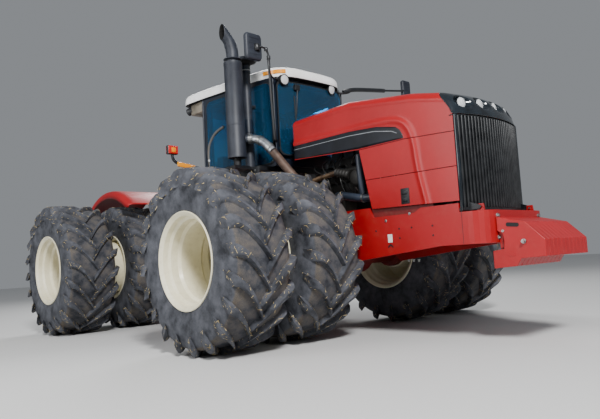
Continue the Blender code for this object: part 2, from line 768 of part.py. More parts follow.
def cab_door():
    low, high = door_low + door_gap, glass_high - door_gap
    near, far = door_front + door_gap, door_rear - door_gap
    body = side_panel(1, near, far, low, high, 0.0, 0.045)
    cut(body, side_panel(1, near + door_frame, far - door_frame, low + door_frame,
                         high - door_frame, -0.1, 0.2))
    for z in door_hinge_heights:
        x = cab_side_x(door_rear) + door_pin_out
        y = front_axle_y + door_rear
        knuckle = rod((x, y, z - 0.04), (x, y, z + 0.04), 0.012, 12)
        strap = box((x - door_pin_out - 0.01, y - 0.05, z - 0.03), (x, y - 0.006, z + 0.03))
        join(body, strap, knuckle)
    handle_y = near + 0.03
    x = cab_side_x(handle_y) - 0.01
    join(body, box((x, front_axle_y + handle_y - 0.012, 2.50),
                   (x + 0.045, front_axle_y + handle_y + 0.012, 2.64)))
    node(body, "cab_door", BLACK, 0.4)
    pane = side_panel(1, near + door_frame + gap, far - door_frame - gap,
                      low + door_frame + gap, high - door_frame - gap, 0.012, 0.012 + glass_wall)
    return node(pane, "door_glass", GLASS, 0.05)


def cab_roof():
    """A shallow cap that overhangs the cab all round, narrower at the front."""
    f = front_axle_y
    low = cab_top_z + gap
    front_half, rear_half = 0.69, 0.87
    plan = [(-front_half, f + 0.52), (-0.60, f + 0.44), (-0.32, f + 0.39), (0.32, f + 0.39),
            (0.60, f + 0.44), (front_half, f + 0.52), (rear_half, f + 2.30),
            (0.78, f + 2.43), (-0.78, f + 2.43), (-rear_half, f + 2.30)]
    body = outline(plan, low, low + roof_thickness, "Z")
    soften(body, 0.05, 60, 3)
    return node(body, "cab_roof", WHITE, 0.3)


cab_frame()
cab_glass()
cab_door()
cab_roof()


# ---- Inside the cab -----------------------------------------------------------------------
def interior():
    f = front_axle_y
    floor = cab_floor_z + cab_wall + gap
    y = f + 1.30
    body = box((-0.16, y - 0.16, floor), (0.16, y + 0.16, floor + 0.30))
    cushion = soften(box((-0.25, y - 0.27, floor + 0.28), (0.25, y + 0.22, floor + 0.40)), 0.03)
    back = outline([(y + 0.10, floor + 0.38), (y + 0.26, floor + 0.38), (y + 0.36, floor + 0.95),
                    (y + 0.25, floor + 0.97)], -0.23, 0.23)
    join(body, cushion, back)
    node(body, "operator_seat", CLOTH, 0.9)
    y = f + 0.72
    console = outline([(y - 0.08, floor), (y + 0.08, floor), (y + 0.12, floor + 0.46),
                       (y - 0.02, floor + 0.50)], -0.13, 0.13)
    hub = (0, y + 0.10, floor + 0.52)
    tilt = Matrix.Rotation(math.radians(-35), 4, "X")
    mesh = bpy.data.meshes.new("ring")
    ring = bmesh.new()
    bmesh.ops.create_cone(ring, cap_ends=True, segments=20, radius1=0.20, radius2=0.20, depth=0.03)
    ring.to_mesh(mesh)
    ring.free()
    wheel = mesh_object(mesh, hub)
    wheel.matrix_world = Matrix.Translation(hub) @ tilt
    mesh = bpy.data.meshes.new("hole")
    ring = bmesh.new()
    bmesh.ops.create_cone(ring, cap_ends=True, segments=20, radius1=0.172, radius2=0.172, depth=0.1)
    ring.to_mesh(mesh)
    ring.free()
    hole = mesh_object(mesh, hub)
    hole.matrix_world = Matrix.Translation(hub) @ tilt
    cut(wheel, hole)
    spoke = box((-0.185, -0.02, -0.010), (0.185, 0.02, 0.010))
    spoke.matrix_world = Matrix.Translation(hub) @ tilt
    column = rod((0, y + 0.02, floor + 0.42), hub, 0.025)
    join(console, column, spoke, wheel)
    node(console, "steering_column", BLACK, 0.5)


interior()


# ---- Deck, steps and handrails ------------------------------------------------------------
deck_reach = 1.10          # left edge, over the steps
deck_edge = 0.86           # right edge
deck_front = 0.62
deck_rear = 1.90
deck_top = cab_floor_z - gap


def deck():
    f = front_axle_y
    low = deck_top - deck_thickness
    body = box((-deck_edge, f + deck_front, low), (deck_reach, f + deck_rear, deck_top))
    legs = [box((side * 0.60 - 0.014, f + y - 0.06, frame_top + gap),
                (side * 0.60 + 0.014, f + y + 0.06, low + 0.01))
            for side in (-1, 1) for y in (0.80, 1.42)]
    stand = box((-1.19, f + 0.71, 2.13), (-0.80, f + 0.98, 2.165))
    join(body, *legs, stand)
    return node(body, "cab_deck", BLACK, 0.6)


def steps():
    f = front_axle_y
    y0, y1 = f + 1.16, f + 1.66
    top = deck_top - deck_thickness - gap
    sides = [outline([(0.66, top), (deck_reach - 0.02, top), (deck_reach + 0.05, 0.55),
                      (0.80, 0.55)], y, y + 0.02, "Y") for y in (y0, y1 - 0.02)]
    body = sides[0]
    join(body, sides[1])
    for z in (0.58, 0.95, 1.32, 1.69):
        share = (top - z) / (top - 0.55)
        low = 0.66 + share * 0.14
        join(body, box((low + 0.02, y0 + 0.01, z), (1.06 + share * 0.06, y1 - 0.01, z + 0.025)))
    hook = box((frame_half_width + gap, y0, 1.20), (0.80, y0 + 0.02, 1.40))
    join(body, hook)
    hook = box((frame_half_width + gap, y1 - 0.02, 1.20), (0.80, y1, 1.40))
    join(body, hook)
    return node(body, "entry_steps", BLACK, 0.6)


def handrails():
    f = front_axle_y
    for name, y in (("front", f + deck_front + 0.03), ("rear", f + deck_rear - 0.03)):
        x = deck_reach - 0.04
        path = [(x, y, deck_top + gap), (x, y, 2.80), (x - 0.03, y, 2.86), (x - 0.09, y, 2.88),
                (x - 0.13, y, 2.85), (x - 0.14, y, 2.78), (x - 0.14, y, deck_top + gap)]
        node(tube(path, 0.014, 2), f"{name}_handrail", BLACK, 0.4)


deck()
steps()
handrails()


# ---- Exhaust stack, its pipe from the engine, and the air intake ---------------------------
stack_x = -1.05
stack_y = 0.84
stack_low = 2.165 + gap
stack_high = 3.565
muffler_radius = 0.125
spout_radius = 0.082
spout_bend = 0.39          # radius of its curve
spout_turn = 50            # degrees from upright at its tip
spout_aim = 170            # degrees, mostly outward and a little to the rear


def stack():
    y = front_axle_y + stack_y
    body = rod((stack_x, y, stack_low + 0.12), (stack_x, y, stack_high), muffler_radius, 24)
    foot = rod((stack_x, y, stack_low), (stack_x, y, stack_low + 0.14), 0.05, 12)
    neck = rod((stack_x, y, stack_high - 0.01), (stack_x, y, stack_high + 0.05), muffler_radius - 0.001, 24,
               spout_radius + 0.003)
    aim = math.radians(spout_aim)
    bend = []
    for i in range(6):
        turn = math.radians(spout_turn * i / 5)
        out = spout_bend * (1 - math.cos(turn))
        bend.append((stack_x + out * math.cos(aim), y + out * math.sin(aim),
                     stack_high + 0.10 + spout_bend * math.sin(turn)))
    spout = tube([(stack_x, y, stack_high + 0.02)] + bend, spout_radius, 4)
    join(body, foot, neck, spout)
    return node(body, "exhaust_muffler", BLACK, 0.45)


def exhaust_pipe():
    f = front_axle_y
    side = (muffler_radius + gap) * math.sqrt(0.5)
    path = [(stack_x + side, f + stack_y - side, 2.527),
            (stack_x + side + 0.03, f + stack_y - side - 0.03, 2.527), (-0.895, f + 0.675, 2.524),
            (-0.87, f + 0.61, 2.505), (-0.855, f + 0.53, 2.46), (-0.845, f + 0.45, 2.395),
            (-0.83, f + 0.38, 2.317), (-0.785, f + 0.33, 2.22), (-0.72, f + 0.27, 2.10),
            (-0.66, f + 0.20, 1.98), (-0.59, f + 0.11, 1.86), (-0.52, f + 0.03, 1.79),
            (-0.46, f - 0.02, 1.76), (-0.38 - gap, f - 0.02, 1.76)]
    return node(tube(path, 0.055, 3), "exhaust_pipe", BLACK, 0.5)


def intake():
    f = front_axle_y
    x, y = -0.81, f + 0.88
    body = rod((x, y, deck_top + gap), (x, y, 3.64), 0.065, 16)
    cap = rod((x, y, 3.622), (x, y, 3.665), 0.155, 20)
    dome = rod((x, y, 3.655), (x, y, 3.70), 0.155, 20, 0.06)
    join(body, cap, dome)
    return node(body, "air_intake", BLACK, 0.45)


stack()
exhaust_pipe()
intake()


# ---- Mirrors on bent arms, warning lamps on folding arms -----------------------------------
def mirrors():
    f = front_axle_y
    path = [(-0.58, f + 0.505, cab_top_z), (-0.58, f + 0.505, 3.325), (-0.61, f + 0.49, 3.30),
            (-0.74, f + 0.42, 3.31), (-0.80, f + 0.40, 3.36),
            (-0.80, f + 0.40, 3.58), (-0.83, f + 0.40, 3.65), (-0.92, f + 0.41, 3.67),
            (-0.97, f + 0.44, 3.67)]
    arm = tube(path, 0.013, 2)
    case = soften(box((-1.13, f + 0.43, 3.46), (-0.87, f + 0.49, 3.88)), 0.02)
    join(arm, case)
    node(arm, "right_mirror", BLACK, 0.4)
    path = [(0.58, f + 0.505, cab_top_z), (0.58, f + 0.505, 3.325), (0.61, f + 0.49, 3.30),
            (0.72, f + 0.42, 3.32), (0.82, f + 0.40, 3.38),
            (1.40, f + 0.42, 3.46), (2.00, f + 0.44, 3.55), (2.12, f + 0.45, 3.58)]
    arm = tube(path, 0.016, 2)
    case = soften(box((2.07, f + 0.43, 3.46), (2.27, f + 0.49, 3.75)), 0.02)
    join(arm, case)
    return node(arm, "left_mirror", BLACK, 0.4)


def lamp_arm(side_name, side, y, root):
    path = [(side * root, y, 2.14), (side * (root + 0.08), y, 2.14), (side * 1.72, y, 2.23),
            (side * 1.79, y, 2.27), (side * 1.84, y, 2.34)]
    arm = tube(path, 0.02, 2)
    lamp = soften(box((side * 1.84 - 0.075, y - 0.04, 2.33), (side * 1.84 + 0.075, y + 0.04, 2.45)),
                  0.012)
    join(arm, lamp)
    return node(arm, f"{side_name}_lamp_arm", BLACK, 0.4)


mirrors()
lamp_arm("right", -1, front_axle_y + 1.18, deck_edge + gap)
lamp_arm("left", 1, front_axle_y + deck_front + 0.05, deck_reach + gap)   # ahead of the door
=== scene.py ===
"""Articulated farm tractor on dual wheels: the finished look of every piece, in metres, +Z up.

The front of the tractor faces -Y and its left side +X. Sections follow the machine as it is put
together: studio, wheels, axles and frames, engine, hood, cab, stack, deck, rear.
"""
from math import cos, dist, exp, hypot, pi, radians, sin, sqrt, tanh
import bmesh
import bpy
import numpy as np
from mathutils import Matrix, Vector


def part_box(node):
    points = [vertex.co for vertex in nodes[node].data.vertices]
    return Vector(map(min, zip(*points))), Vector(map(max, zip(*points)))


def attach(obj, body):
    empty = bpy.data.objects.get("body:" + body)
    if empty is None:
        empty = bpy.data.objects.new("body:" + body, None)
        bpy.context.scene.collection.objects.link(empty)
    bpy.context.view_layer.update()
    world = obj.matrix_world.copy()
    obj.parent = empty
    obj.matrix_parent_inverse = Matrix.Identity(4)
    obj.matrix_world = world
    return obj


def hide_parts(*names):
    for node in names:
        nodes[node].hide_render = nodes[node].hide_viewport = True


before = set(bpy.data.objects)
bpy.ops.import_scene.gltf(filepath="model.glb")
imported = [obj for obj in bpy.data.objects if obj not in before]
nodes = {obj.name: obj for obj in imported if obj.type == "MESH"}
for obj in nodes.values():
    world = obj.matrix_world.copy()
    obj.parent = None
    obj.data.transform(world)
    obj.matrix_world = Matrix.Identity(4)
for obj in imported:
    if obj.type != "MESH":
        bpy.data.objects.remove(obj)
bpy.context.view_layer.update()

# ---- Studio ---------------------------------------------------------------------------------
# A pale matt floor, a wide soft key from the front right, a fill from the left, a rim from behind.
# The camera stands low at the front right corner, as a person crouching beside the wheel sees it.
front_axle_y = sum(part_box("front_right_rims")[i].y for i in (0, 1)) / 2
rear_axle_y = sum(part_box("rear_right_rims")[i].y for i in (0, 1)) / 2
axle_z = sum(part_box("front_right_rims")[i].z for i in (0, 1)) / 2


def linear(code):
    """A linear RGBA colour from an sRGB hex code such as '#c0ffee'."""
    parts = [int(code[i:i + 2], 16) / 255 for i in (1, 3, 5)]
    return tuple(c / 12.92 if c <= 0.04045 else ((c + 0.055) / 1.055) ** 2.4 for c in parts) + (1,)


def add(tree, kind, inputs=None, **settings):
    """One node with its settings; inputs maps a socket's name or number to a value or an output."""
    node = tree.nodes.new(kind)
    for key, value in settings.items():
        setattr(node, key, value)
    for key, value in (inputs or {}).items():
        if isinstance(value, bpy.types.NodeSocket):
            tree.links.new(value, node.inputs[key])
        else:
            node.inputs[key].default_value = value
    return node


def finish(name, **constants):
    """An empty finish: its material, its tree and its shader with constant sockets set."""
    material = bpy.data.materials.new(name)
    material.use_nodes = True
    tree = material.node_tree
    shader = tree.nodes["Principled BSDF"]
    for key, value in constants.items():
        shader.inputs[key.replace("_", " ")].default_value = value
    return material, tree, shader


def ramp(tree, factor, low, high, dark, light):
    """A two-stop ramp between two hex colours."""
    node = add(tree, "ShaderNodeValToRGB", {0: factor})
    node.color_ramp.elements[0].position = low
    node.color_ramp.elements[1].position = high
    node.color_ramp.elements[0].color = linear(dark)
    node.color_ramp.elements[1].color = linear(light)
    return node.outputs[0]


def patterned(name, kind, sizes, tones, dull=None, grain=None, bands="X", **constants):
    """A finish coloured by one texture between two tones; the same texture may set how dull it is
    and raise a grain."""
    material, tree, shader = finish(name, **constants)
    coords = add(tree, "ShaderNodeTexCoord").outputs["Object"]
    settings = {"bands_direction": bands} if kind == "Wave" else {}
    texture = add(tree, "ShaderNodeTex" + kind, {"Vector": coords, **sizes}, **settings).outputs[0]
    tree.links.new(ramp(tree, texture, *tones), shader.inputs[0])
    if dull:
        rub = add(tree, "ShaderNodeMapRange", {"Value": texture, "To Min": dull[0], "To Max": dull[1]})
        tree.links.new(rub.outputs[0], shader.inputs["Roughness"])
    if grain:
        bump = add(tree, "ShaderNodeBump", {"Strength": grain[0], "Distance": grain[1], "Height": texture})
        tree.links.new(bump.outputs[0], shader.inputs["Normal"])
    return material


def linked(name, data):
    """A new object in the scene."""
    made = bpy.data.objects.new(name, data)
    bpy.context.scene.collection.objects.link(made)
    return made


def shape(name, verts, faces, smooth=35, material=None):
    """A mesh object from points and faces, its doubles merged and its normals outward."""
    mesh = bpy.data.meshes.new(name)
    mesh.from_pydata([tuple(v) for v in verts], [], faces)
    work = bmesh.new()
    work.from_mesh(mesh)
    bmesh.ops.remove_doubles(work, verts=work.verts, dist=1e-6)
    bmesh.ops.recalc_face_normals(work, faces=work.faces)
    work.to_mesh(mesh)
    work.free()
    mesh.shade_smooth()
    mesh.set_sharp_from_angle(angle=radians(smooth))
    if material:
        mesh.materials.append(material)
    return linked(name, mesh)


# pale seamless studio floor: matt paint over screed, so it only catches soft shadows
floor_paint, tree, shader = finish("matt_studio_floor_paint", Roughness=0.85)
mottle = add(tree, "ShaderNodeTexNoise", {"Scale": 0.8, "Detail": 3.0})
tree.links.new(ramp(tree, mottle.outputs[0], 0.3, 0.7, "#cfcfce", "#d6d6d5"), shader.inputs[0])
floor_reach = 40.0
floor = shape("studio_floor", [(-floor_reach, -floor_reach, 0), (floor_reach, -floor_reach, 0),
    (floor_reach, floor_reach, 0), (-floor_reach, floor_reach, 0)], [(0, 1, 2, 3)], material=floor_paint)

world = bpy.data.worlds.new("studio")
bpy.context.scene.world = world
world.use_nodes = True
world.node_tree.nodes["Background"].inputs[0].default_value = linear("#dfe4ea")
world.node_tree.nodes["Background"].inputs[1].default_value = 0.34

for name, place, size, power in (("key", (-7.0, -10.5, 9.5), 2.2, 2700),
        ("side_fill", (-11.0, 1.0, 5.0), 6.0, 500), ("rim", (6.0, 8.0, 8.0), 5.0, 900)):
    lamp = bpy.data.objects.new(name, bpy.data.lights.new(name, "AREA"))
    lamp.data.energy = power
    lamp.data.size = size
    lamp.location = place
    lamp.rotation_euler = (Vector((0, 0, 1.5)) - Vector(place)).to_track_quat("-Z", "Y").to_euler()
    bpy.context.scene.collection.objects.link(lamp)

camera = bpy.data.objects.new("camera", bpy.data.cameras.new("camera"))
camera.data.lens = 35.18
camera.data.sensor_width = 36.0
yaw, pitch, roll = 0.744, 0.0834, -0.0588    # from +Y towards +X, up, and about the view
ahead = Vector((sin(yaw) * cos(pitch), cos(yaw) * cos(pitch), sin(pitch)))
level = ahead.cross(Vector((0, 0, 1))).normalized()
plumb = level.cross(ahead)
right = cos(roll) * level + sin(roll) * plumb
up = cos(roll) * plumb - sin(roll) * level
camera.matrix_world = Matrix((right, up, -ahead)).transposed().to_4x4()
camera.location = (-5.603, -6.35, 0.937)
bpy.context.scene.collection.objects.link(camera)
bpy.context.scene.camera = camera

# ---- Tyres ----------------------------------------------------------------------------------
# Eight wide radial drive tyres, moulded rubber on a steel-belted carcass. Two staggered rows of
# curved lugs meet in a chevron that points down at the front; the sidewall bulges over the bead.
tyre_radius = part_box("front_right_outer_tyre")[1].z - axle_z
tyre_half = 0.358
lug_height = 0.058
lug_count = 20             # a row
lug_sweep = 0.40           # radians from the crown to the shoulder
bead_radius = 0.484
crown_radius = tyre_radius - lug_height


def quads(rows, columns, round_rows=False, round_columns=False, flip=False):
    """Faces over a grid of points, row by row; the rows or the columns may close into a ring."""
    faces = []
    for i in range(rows if round_rows else rows - 1):
        for j in range(columns if round_columns else columns - 1):
            here, there, k = i * columns, (i + 1) % rows * columns, (j + 1) % columns
            quad = (here + j, here + k, there + k, there + j)
            faces.append((quad[0],) + quad[:0:-1] if flip else quad)
    return faces


def turned(name, profile, steps, smooth=35, material=None, at=None, swing=None):
    """A turned piece about the X axis from (radius, x) points, closed at both ends if they meet;
    it may be swung a quarter turn about Y or Z and set at a place."""
    count = len(profile)
    angles = [2 * pi * k / steps for k in range(steps)]
    verts = [(x, r * cos(a), r * sin(a)) for a in angles for r, x in profile]
    piece = shape(name, verts, quads(steps, count, round_rows=True, flip=True), smooth, material)
    if at:
        turn = Matrix.Rotation(pi / 2, 4, swing) if swing else Matrix()
        piece.data.transform(Matrix.Translation(at) @ turn)
    return piece


def band_of(inner, outer, low, high):
    """The closed section of a plain ring: two radii between two places along its axis."""
    return [(inner, low), (outer, low), (outer, high), (inner, high), (inner, low)]


def spline(points, steps):
    """Points on a smooth curve through the given points (Catmull-Rom)."""
    places = [np.array(p, float) for p in points]
    places = [2 * places[0] - places[1]] + places + [2 * places[-1] - places[-2]]
    out = []
    for i in range(1, len(places) - 2):
        a, b, c, d = places[i - 1:i + 3]
        for k in range(steps):
            t = k / steps
            out.append(0.5 * (2 * b + (c - a) * t + (2 * a - 5 * b + 4 * c - d) * t * t
                + (3 * b - a - 3 * c + d) * t ** 3))
    return out + [places[-2]]


# outer wall from bead to bead over the crown; the sidewall is widest a third of the way up
wall = [(bead_radius, 0.322), (bead_radius + 0.035, 0.338), (0.60, 0.352), (0.70, tyre_half), (0.79, 0.352),
    (0.860, 0.334), (0.898, 0.300), (0.915, 0.24), (crown_radius - 0.004, 0.12), (crown_radius, 0.0)]
half_wall = spline(wall, 3)
carcass_profile = [tuple(p) for p in half_wall] + [(r, -x) for r, x in reversed(half_wall[:-1])]
carcass_profile.append((carcass_profile[0][0], 0.322))


def shoulder_radius(x):
    """Radius of the carcass under a lug, at a distance from the tyre's middle."""
    outer = [(r, a) for r, a in half_wall if r > 0.80][::-1]
    return float(np.interp(abs(x), [a for _, a in outer], [r for r, _ in outer]))


def lug(side):
    """One curved bar of the tread: narrow at the crown, with a wide buttress at the shoulder."""
    verts = []
    stations, across = 13, 7
    for i in range(stations):
        t = i / (stations - 1)
        x = side * (-0.020 + 0.386 * t)
        past = max(0.0, t - 0.84) / 0.16
        turn = lug_sweep * (t - 0.30 * t * t * t) / 0.70
        half = 0.031 + 0.010 * t + 0.014 * past
        flare = 0.016 + 0.014 * t
        base = shoulder_radius(x) - 0.014 - 0.03 * past
        top = tyre_radius - 0.008 * t * t - 0.070 * past * past
        for offset, radius in ((-half - flare, base), (-half, top - 0.006), (-half + 0.006, top), (0.0, top),
                (half - 0.006, top), (half, top - 0.006), (half + flare, base)):
            angle = turn + offset * 1.15 / tyre_radius
            verts.append((x + side * 0.35 * offset, -radius * cos(angle), radius * sin(angle)))
    faces = quads(stations, across, round_columns=True)
    faces.append(tuple(range(across)))
    faces.append(tuple(reversed(range((stations - 1) * across, stations * across))))
    return verts, faces


def node_group(name, **inputs):
    """A Geometry Nodes tree with its named inputs, and the sockets that give them."""
    tree = bpy.data.node_groups.new(name, "GeometryNodeTree")
    for label, kind in {"Geometry": "Geometry", **inputs, "Material": "Material"}.items():
        tree.interface.new_socket(label, in_out="INPUT", socket_type="NodeSocket" + kind)
    tree.interface.new_socket("Geometry", in_out="OUTPUT", socket_type="NodeSocketGeometry")
    return tree, add(tree, "NodeGroupInput").outputs


def realized(tree, copies, given):
    """Ends a tree: its instances are made real and take their material."""
    real = add(tree, "GeometryNodeRealizeInstances", {0: copies.outputs[0]})
    made = add(tree, "GeometryNodeSetMaterial", {"Geometry": real.outputs[0], "Material": given["Material"]})
    add(tree, "NodeGroupOutput", {"Geometry": made.outputs[0]})
    return tree


def ring_tree(name):
    """Geometry Nodes: the object's own mesh repeated about the X axis, then realized."""
    tree, given = node_group(name, Count="Int")
    points = add(tree, "GeometryNodeMeshLine", {"Count": given["Count"], "Offset": (0, 0, 0)})
    number = add(tree, "GeometryNodeInputIndex")
    share = add(tree, "ShaderNodeMath", {0: 2 * pi, 1: given["Count"]}, operation="DIVIDE")
    turn = add(tree, "ShaderNodeMath", {0: number.outputs[0], 1: share.outputs[0]}, operation="MULTIPLY")
    angle = add(tree, "ShaderNodeCombineXYZ", {"X": turn.outputs[0]})
    copies = add(tree, "GeometryNodeInstanceOnPoints", {"Points": points.outputs[0],
        "Instance": given["Geometry"], "Rotation": angle.outputs[0]})
    return realized(tree, copies, given)


def grow(piece, tree, **inputs):
    """Runs a node tree on a piece and keeps the result as its plain mesh."""
    step = piece.modifiers.new("grow", "NODES")
    step.node_group = tree
    sockets = {s.name: s.identifier for s in tree.interface.items_tree if s.in_out == "INPUT"}
    for label, value in inputs.items():
        step[sockets[label.replace("_", " ")]] = value
    return plain(piece)


def plain(piece):
    """The piece with its modifiers and its place baked into a plain mesh at the origin."""
    bpy.context.view_layer.update()
    evaluated = piece.evaluated_get(bpy.context.evaluated_depsgraph_get())
    mesh = bpy.data.meshes.new_from_object(evaluated)
    mesh.transform(piece.matrix_world)
    name = piece.name
    bpy.data.objects.remove(piece, do_unlink=True)
    made = linked(name, mesh)
    made.name = name
    return made


def merged(name, pieces, material=None):
    """Several pieces as one mesh; each keeps its material unless one is given."""
    bpy.context.view_layer.update()
    mesh = bpy.data.meshes.new(name)
    work = bmesh.new()
    slots = []
    for piece in pieces:
        start = len(work.faces)
        work.from_mesh(piece.data)
        work.faces.ensure_lookup_table()
        own = list(piece.data.materials)
        for face in list(work.faces)[start:]:
            kept = material or (own[face.material_index] if own else None)
            if kept not in slots:
                slots.append(kept)
            face.material_index = slots.index(kept)
    work.to_mesh(mesh)
    work.free()
    for kept in slots:
        mesh.materials.append(kept)
    for piece in pieces:
        bpy.data.objects.remove(piece, do_unlink=True)
    return linked(name, mesh)


def place(piece, body, slot, *replaced):
    """A finished piece rides on a body and may stand for CAD nodes; its finish slot is not used."""
    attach(piece, body)
    if replaced:
        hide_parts(*replaced)
    return piece


# moulded tread rubber, dusty from the field: carbon-black grey, greyer where dust lies, with
# dried soil packed between the lugs; matt, with a grain of about 8 mm drawn coarse to show
rubber, tree, shader = finish("moulded_tread_rubber", Specular_IOR_Level=0.35)
coords = add(tree, "ShaderNodeTexCoord").outputs["Object"]
soiled = add(tree, "ShaderNodeAttribute", attribute_name="soil").outputs["Fac"]
cloud = add(tree, "ShaderNodeTexNoise", {"Vector": coords, "Scale": 6.0, "Detail": 6.0, "Roughness": 0.65})
grit = add(tree, "ShaderNodeTexNoise", {"Vector": coords, "Scale": 1 / 0.008, "Detail": 3.0})
dusty = ramp(tree, cloud.outputs[0], 0.34, 0.68, "#26282e", "#5a5c63")
soil = ramp(tree, grit.outputs[0], 0.3, 0.7, "#42382c", "#75664c")
packed = add(tree, "ShaderNodeMath", {0: cloud.outputs[0], 1: soiled}, operation="MULTIPLY")
spread = add(tree, "ShaderNodeMapRange", {"Value": packed.outputs[0], "From Min": 0.36, "From Max": 0.66,
    "To Max": 0.75}, clamp=True)
mixed = add(tree, "ShaderNodeMix", {0: spread.outputs[0], 6: dusty, 7: soil}, data_type="RGBA")
rub = add(tree, "ShaderNodeMapRange", {"Value": cloud.outputs[0], "To Min": 0.62, "To Max": 0.9})
bump = add(tree, "ShaderNodeBump", {"Strength": 0.35, "Distance": 0.004, "Height": grit.outputs[0]})
tree.links.new(mixed.outputs[2], shader.inputs["Base Color"])
tree.links.new(rub.outputs[0], shader.inputs["Roughness"])
tree.links.new(bump.outputs[0], shader.inputs["Normal"])

# chopped wheat straw, dried: pale gold, waxy, varied blade by blade
straw_finish = patterned("dried_straw", "Noise", {"Scale": 30.0}, (0.35, 0.65, "#7d6a3c", "#cdb98a"),
    Roughness=0.6)


def scatter_tree():
    """Geometry Nodes: straw blades laid at random on a surface, with a fixed seed."""
    tree, given = node_group("straw_scatter", Density="Float", Seed="Int", Blade="Vector")
    spots = add(tree, "GeometryNodeDistributePointsOnFaces", {"Mesh": given["Geometry"],
        "Density": given["Density"], "Seed": given["Seed"]})
    blade = add(tree, "GeometryNodeMeshCube", {"Size": given["Blade"]})
    lean = add(tree, "FunctionNodeRandomValue", {0: (-0.35, -0.35, -3.14), 1: (0.35, 0.35, 3.14), "Seed": 7},
        data_type="FLOAT_VECTOR")
    turned_to = add(tree, "FunctionNodeRotateRotation", {0: spots.outputs["Rotation"], 1: lean.outputs[0]},
        rotation_space="LOCAL")
    length = add(tree, "FunctionNodeRandomValue", {2: 0.4, 3: 1.3, "Seed": 3}, data_type="FLOAT")
    copies = add(tree, "GeometryNodeInstanceOnPoints", {"Points": spots.outputs[0],
        "Instance": blade.outputs[0], "Rotation": turned_to.outputs[0], "Scale": length.outputs[1]})
    return realized(tree, copies, given)


def graded(mesh):
    """Stores where soil packs: 1 on the floor of the grooves, a trace on the lugs, 0 on the walls."""
    spots = np.array([v.co for v in mesh.vertices])
    radius = np.hypot(spots[:, 1], spots[:, 2])
    rise = np.clip((radius - crown_radius + 0.02) / (lug_height + 0.02), 0, 1)
    tread_zone = np.clip((0.345 - np.abs(spots[:, 0])) / 0.03, 0, 1) * (radius > 0.86)
    values = (tread_zone * (1 - 0.72 * rise)).astype(np.float32)
    mesh.attributes.new("soil", "FLOAT", "POINT").data.foreach_set("value", values)


pair_verts, pair_faces = lug(-1)
other_verts, other_faces = lug(1)
stagger = pi / lug_count
base_count = len(pair_verts)
pair_verts = [tuple(v) for v in pair_verts]
for x, y, z in other_verts:
    pair_verts.append((x, y * cos(stagger) - z * sin(stagger), y * sin(stagger) + z * cos(stagger)))
pair_faces += [tuple(i + base_count for i in face) for face in other_faces]
tread = shape("tread", pair_verts, pair_faces, 40)
repeat = ring_tree("repeat_about_axle")
tread = grow(tread, repeat, Count=lug_count, Material=rubber)
straw_bed = tread.copy()
straw_bed.data = tread.data.copy()
bpy.context.scene.collection.objects.link(straw_bed)
straw_bed.name = "straw"
straw = grow(straw_bed, scatter_tree(), Density=260.0, Seed=11, Blade=(0.042, 0.0042, 0.002),
    Material=straw_finish)
carcass = turned("carcass", carcass_profile, 96, 50, material=rubber)
tyre_mesh = merged("tyre", [tread, carcass])
graded(tyre_mesh.data)

for end, wheel_y in (("front", front_axle_y), ("rear", rear_axle_y)):
    for side_name, side in (("right", -1), ("left", 1)):
        body = f"{end}_{side_name}_wheels"
        chaff = []
        for which in ("inner", "outer"):
            low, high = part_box(f"{end}_{side_name}_{which}_tyre")
            spot = Vector(((low.x + high.x) / 2, wheel_y, axle_z))
            spin = Matrix.Rotation(0.11 * (which == "inner") + 0.2 * (side > 0), 4, "X")
            tyre = linked(f"{end}_{side_name}_{which}_tread", tyre_mesh.data.copy())
            tyre.data.transform(Matrix.Translation(spot) @ spin)
            place(tyre, body, "tyre_rubber", f"{end}_{side_name}_{which}_tyre")
            bits = linked("bits", straw.data.copy())
            bits.data.transform(Matrix.Translation(spot) @ spin)
            chaff.append(bits)
        place(merged(f"{end}_{side_name}_straw", chaff), body, "tyre_rubber")
for spare in (tyre_mesh, straw):
    bpy.data.objects.remove(spare, do_unlink=True)

# ---- Rims -----------------------------------------------------------------------------------
# Deep dish rims rolled from steel strip with stepped drop centres, welded to pressed discs and
# joined by a spacer drum; ivory enamel, dull with dust, ten studs on each disc.
hub_x = {"face": 0.96, "disc": 1.29, "outer_disc": 1.79}
rim_half = 0.352


def dusty_enamel(name, clean, faded, dust, rough, scale=3.0, coat=0.25, amount=0.35):
    """Sprayed enamel that has worked outside: slight orange peel, dust in soft clouds."""
    material, tree, shader = finish(name, IOR=1.5, Coat_Weight=coat, Coat_Roughness=0.12)
    coords = add(tree, "ShaderNodeTexCoord").outputs["Object"]
    cloud = add(tree, "ShaderNodeTexNoise", {"Vector": coords, "Scale": scale, "Detail": 5.0,
        "Roughness": 0.6})
    tone = ramp(tree, cloud.outputs[0], 0.35, 0.7, clean, faded)
    fine = add(tree, "ShaderNodeTexNoise", {"Vector": coords, "Scale": scale * 9, "Detail": 4.0})
    lies = add(tree, "ShaderNodeMapRange", {"Value": fine.outputs[0], "From Min": 0.50, "From Max": 0.95,
        "To Max": amount})
    mixed = add(tree, "ShaderNodeMix", {0: lies.outputs[0], 6: tone, 7: linear(dust)}, data_type="RGBA")
    dull = add(tree, "ShaderNodeMapRange", {"Value": cloud.outputs[0], "To Min": rough - 0.08,
        "To Max": rough + 0.14})
    peel = add(tree, "ShaderNodeTexNoise", {"Vector": coords, "Scale": 1 / 0.012, "Detail": 1.0})
    bump = add(tree, "ShaderNodeBump", {"Strength": 0.04, "Distance": 0.001, "Height": peel.outputs[0]})
    tree.links.new(mixed.outputs[2], shader.inputs["Base Color"])
    tree.links.new(dull.outputs[0], shader.inputs["Roughness"])
    tree.links.new(bump.outputs[0], shader.inputs["Normal"])
    return material


ivory = dusty_enamel("ivory_wheel_enamel", "#ece6cc", "#ded6b4", "#a3956c", 0.34, 2.2)
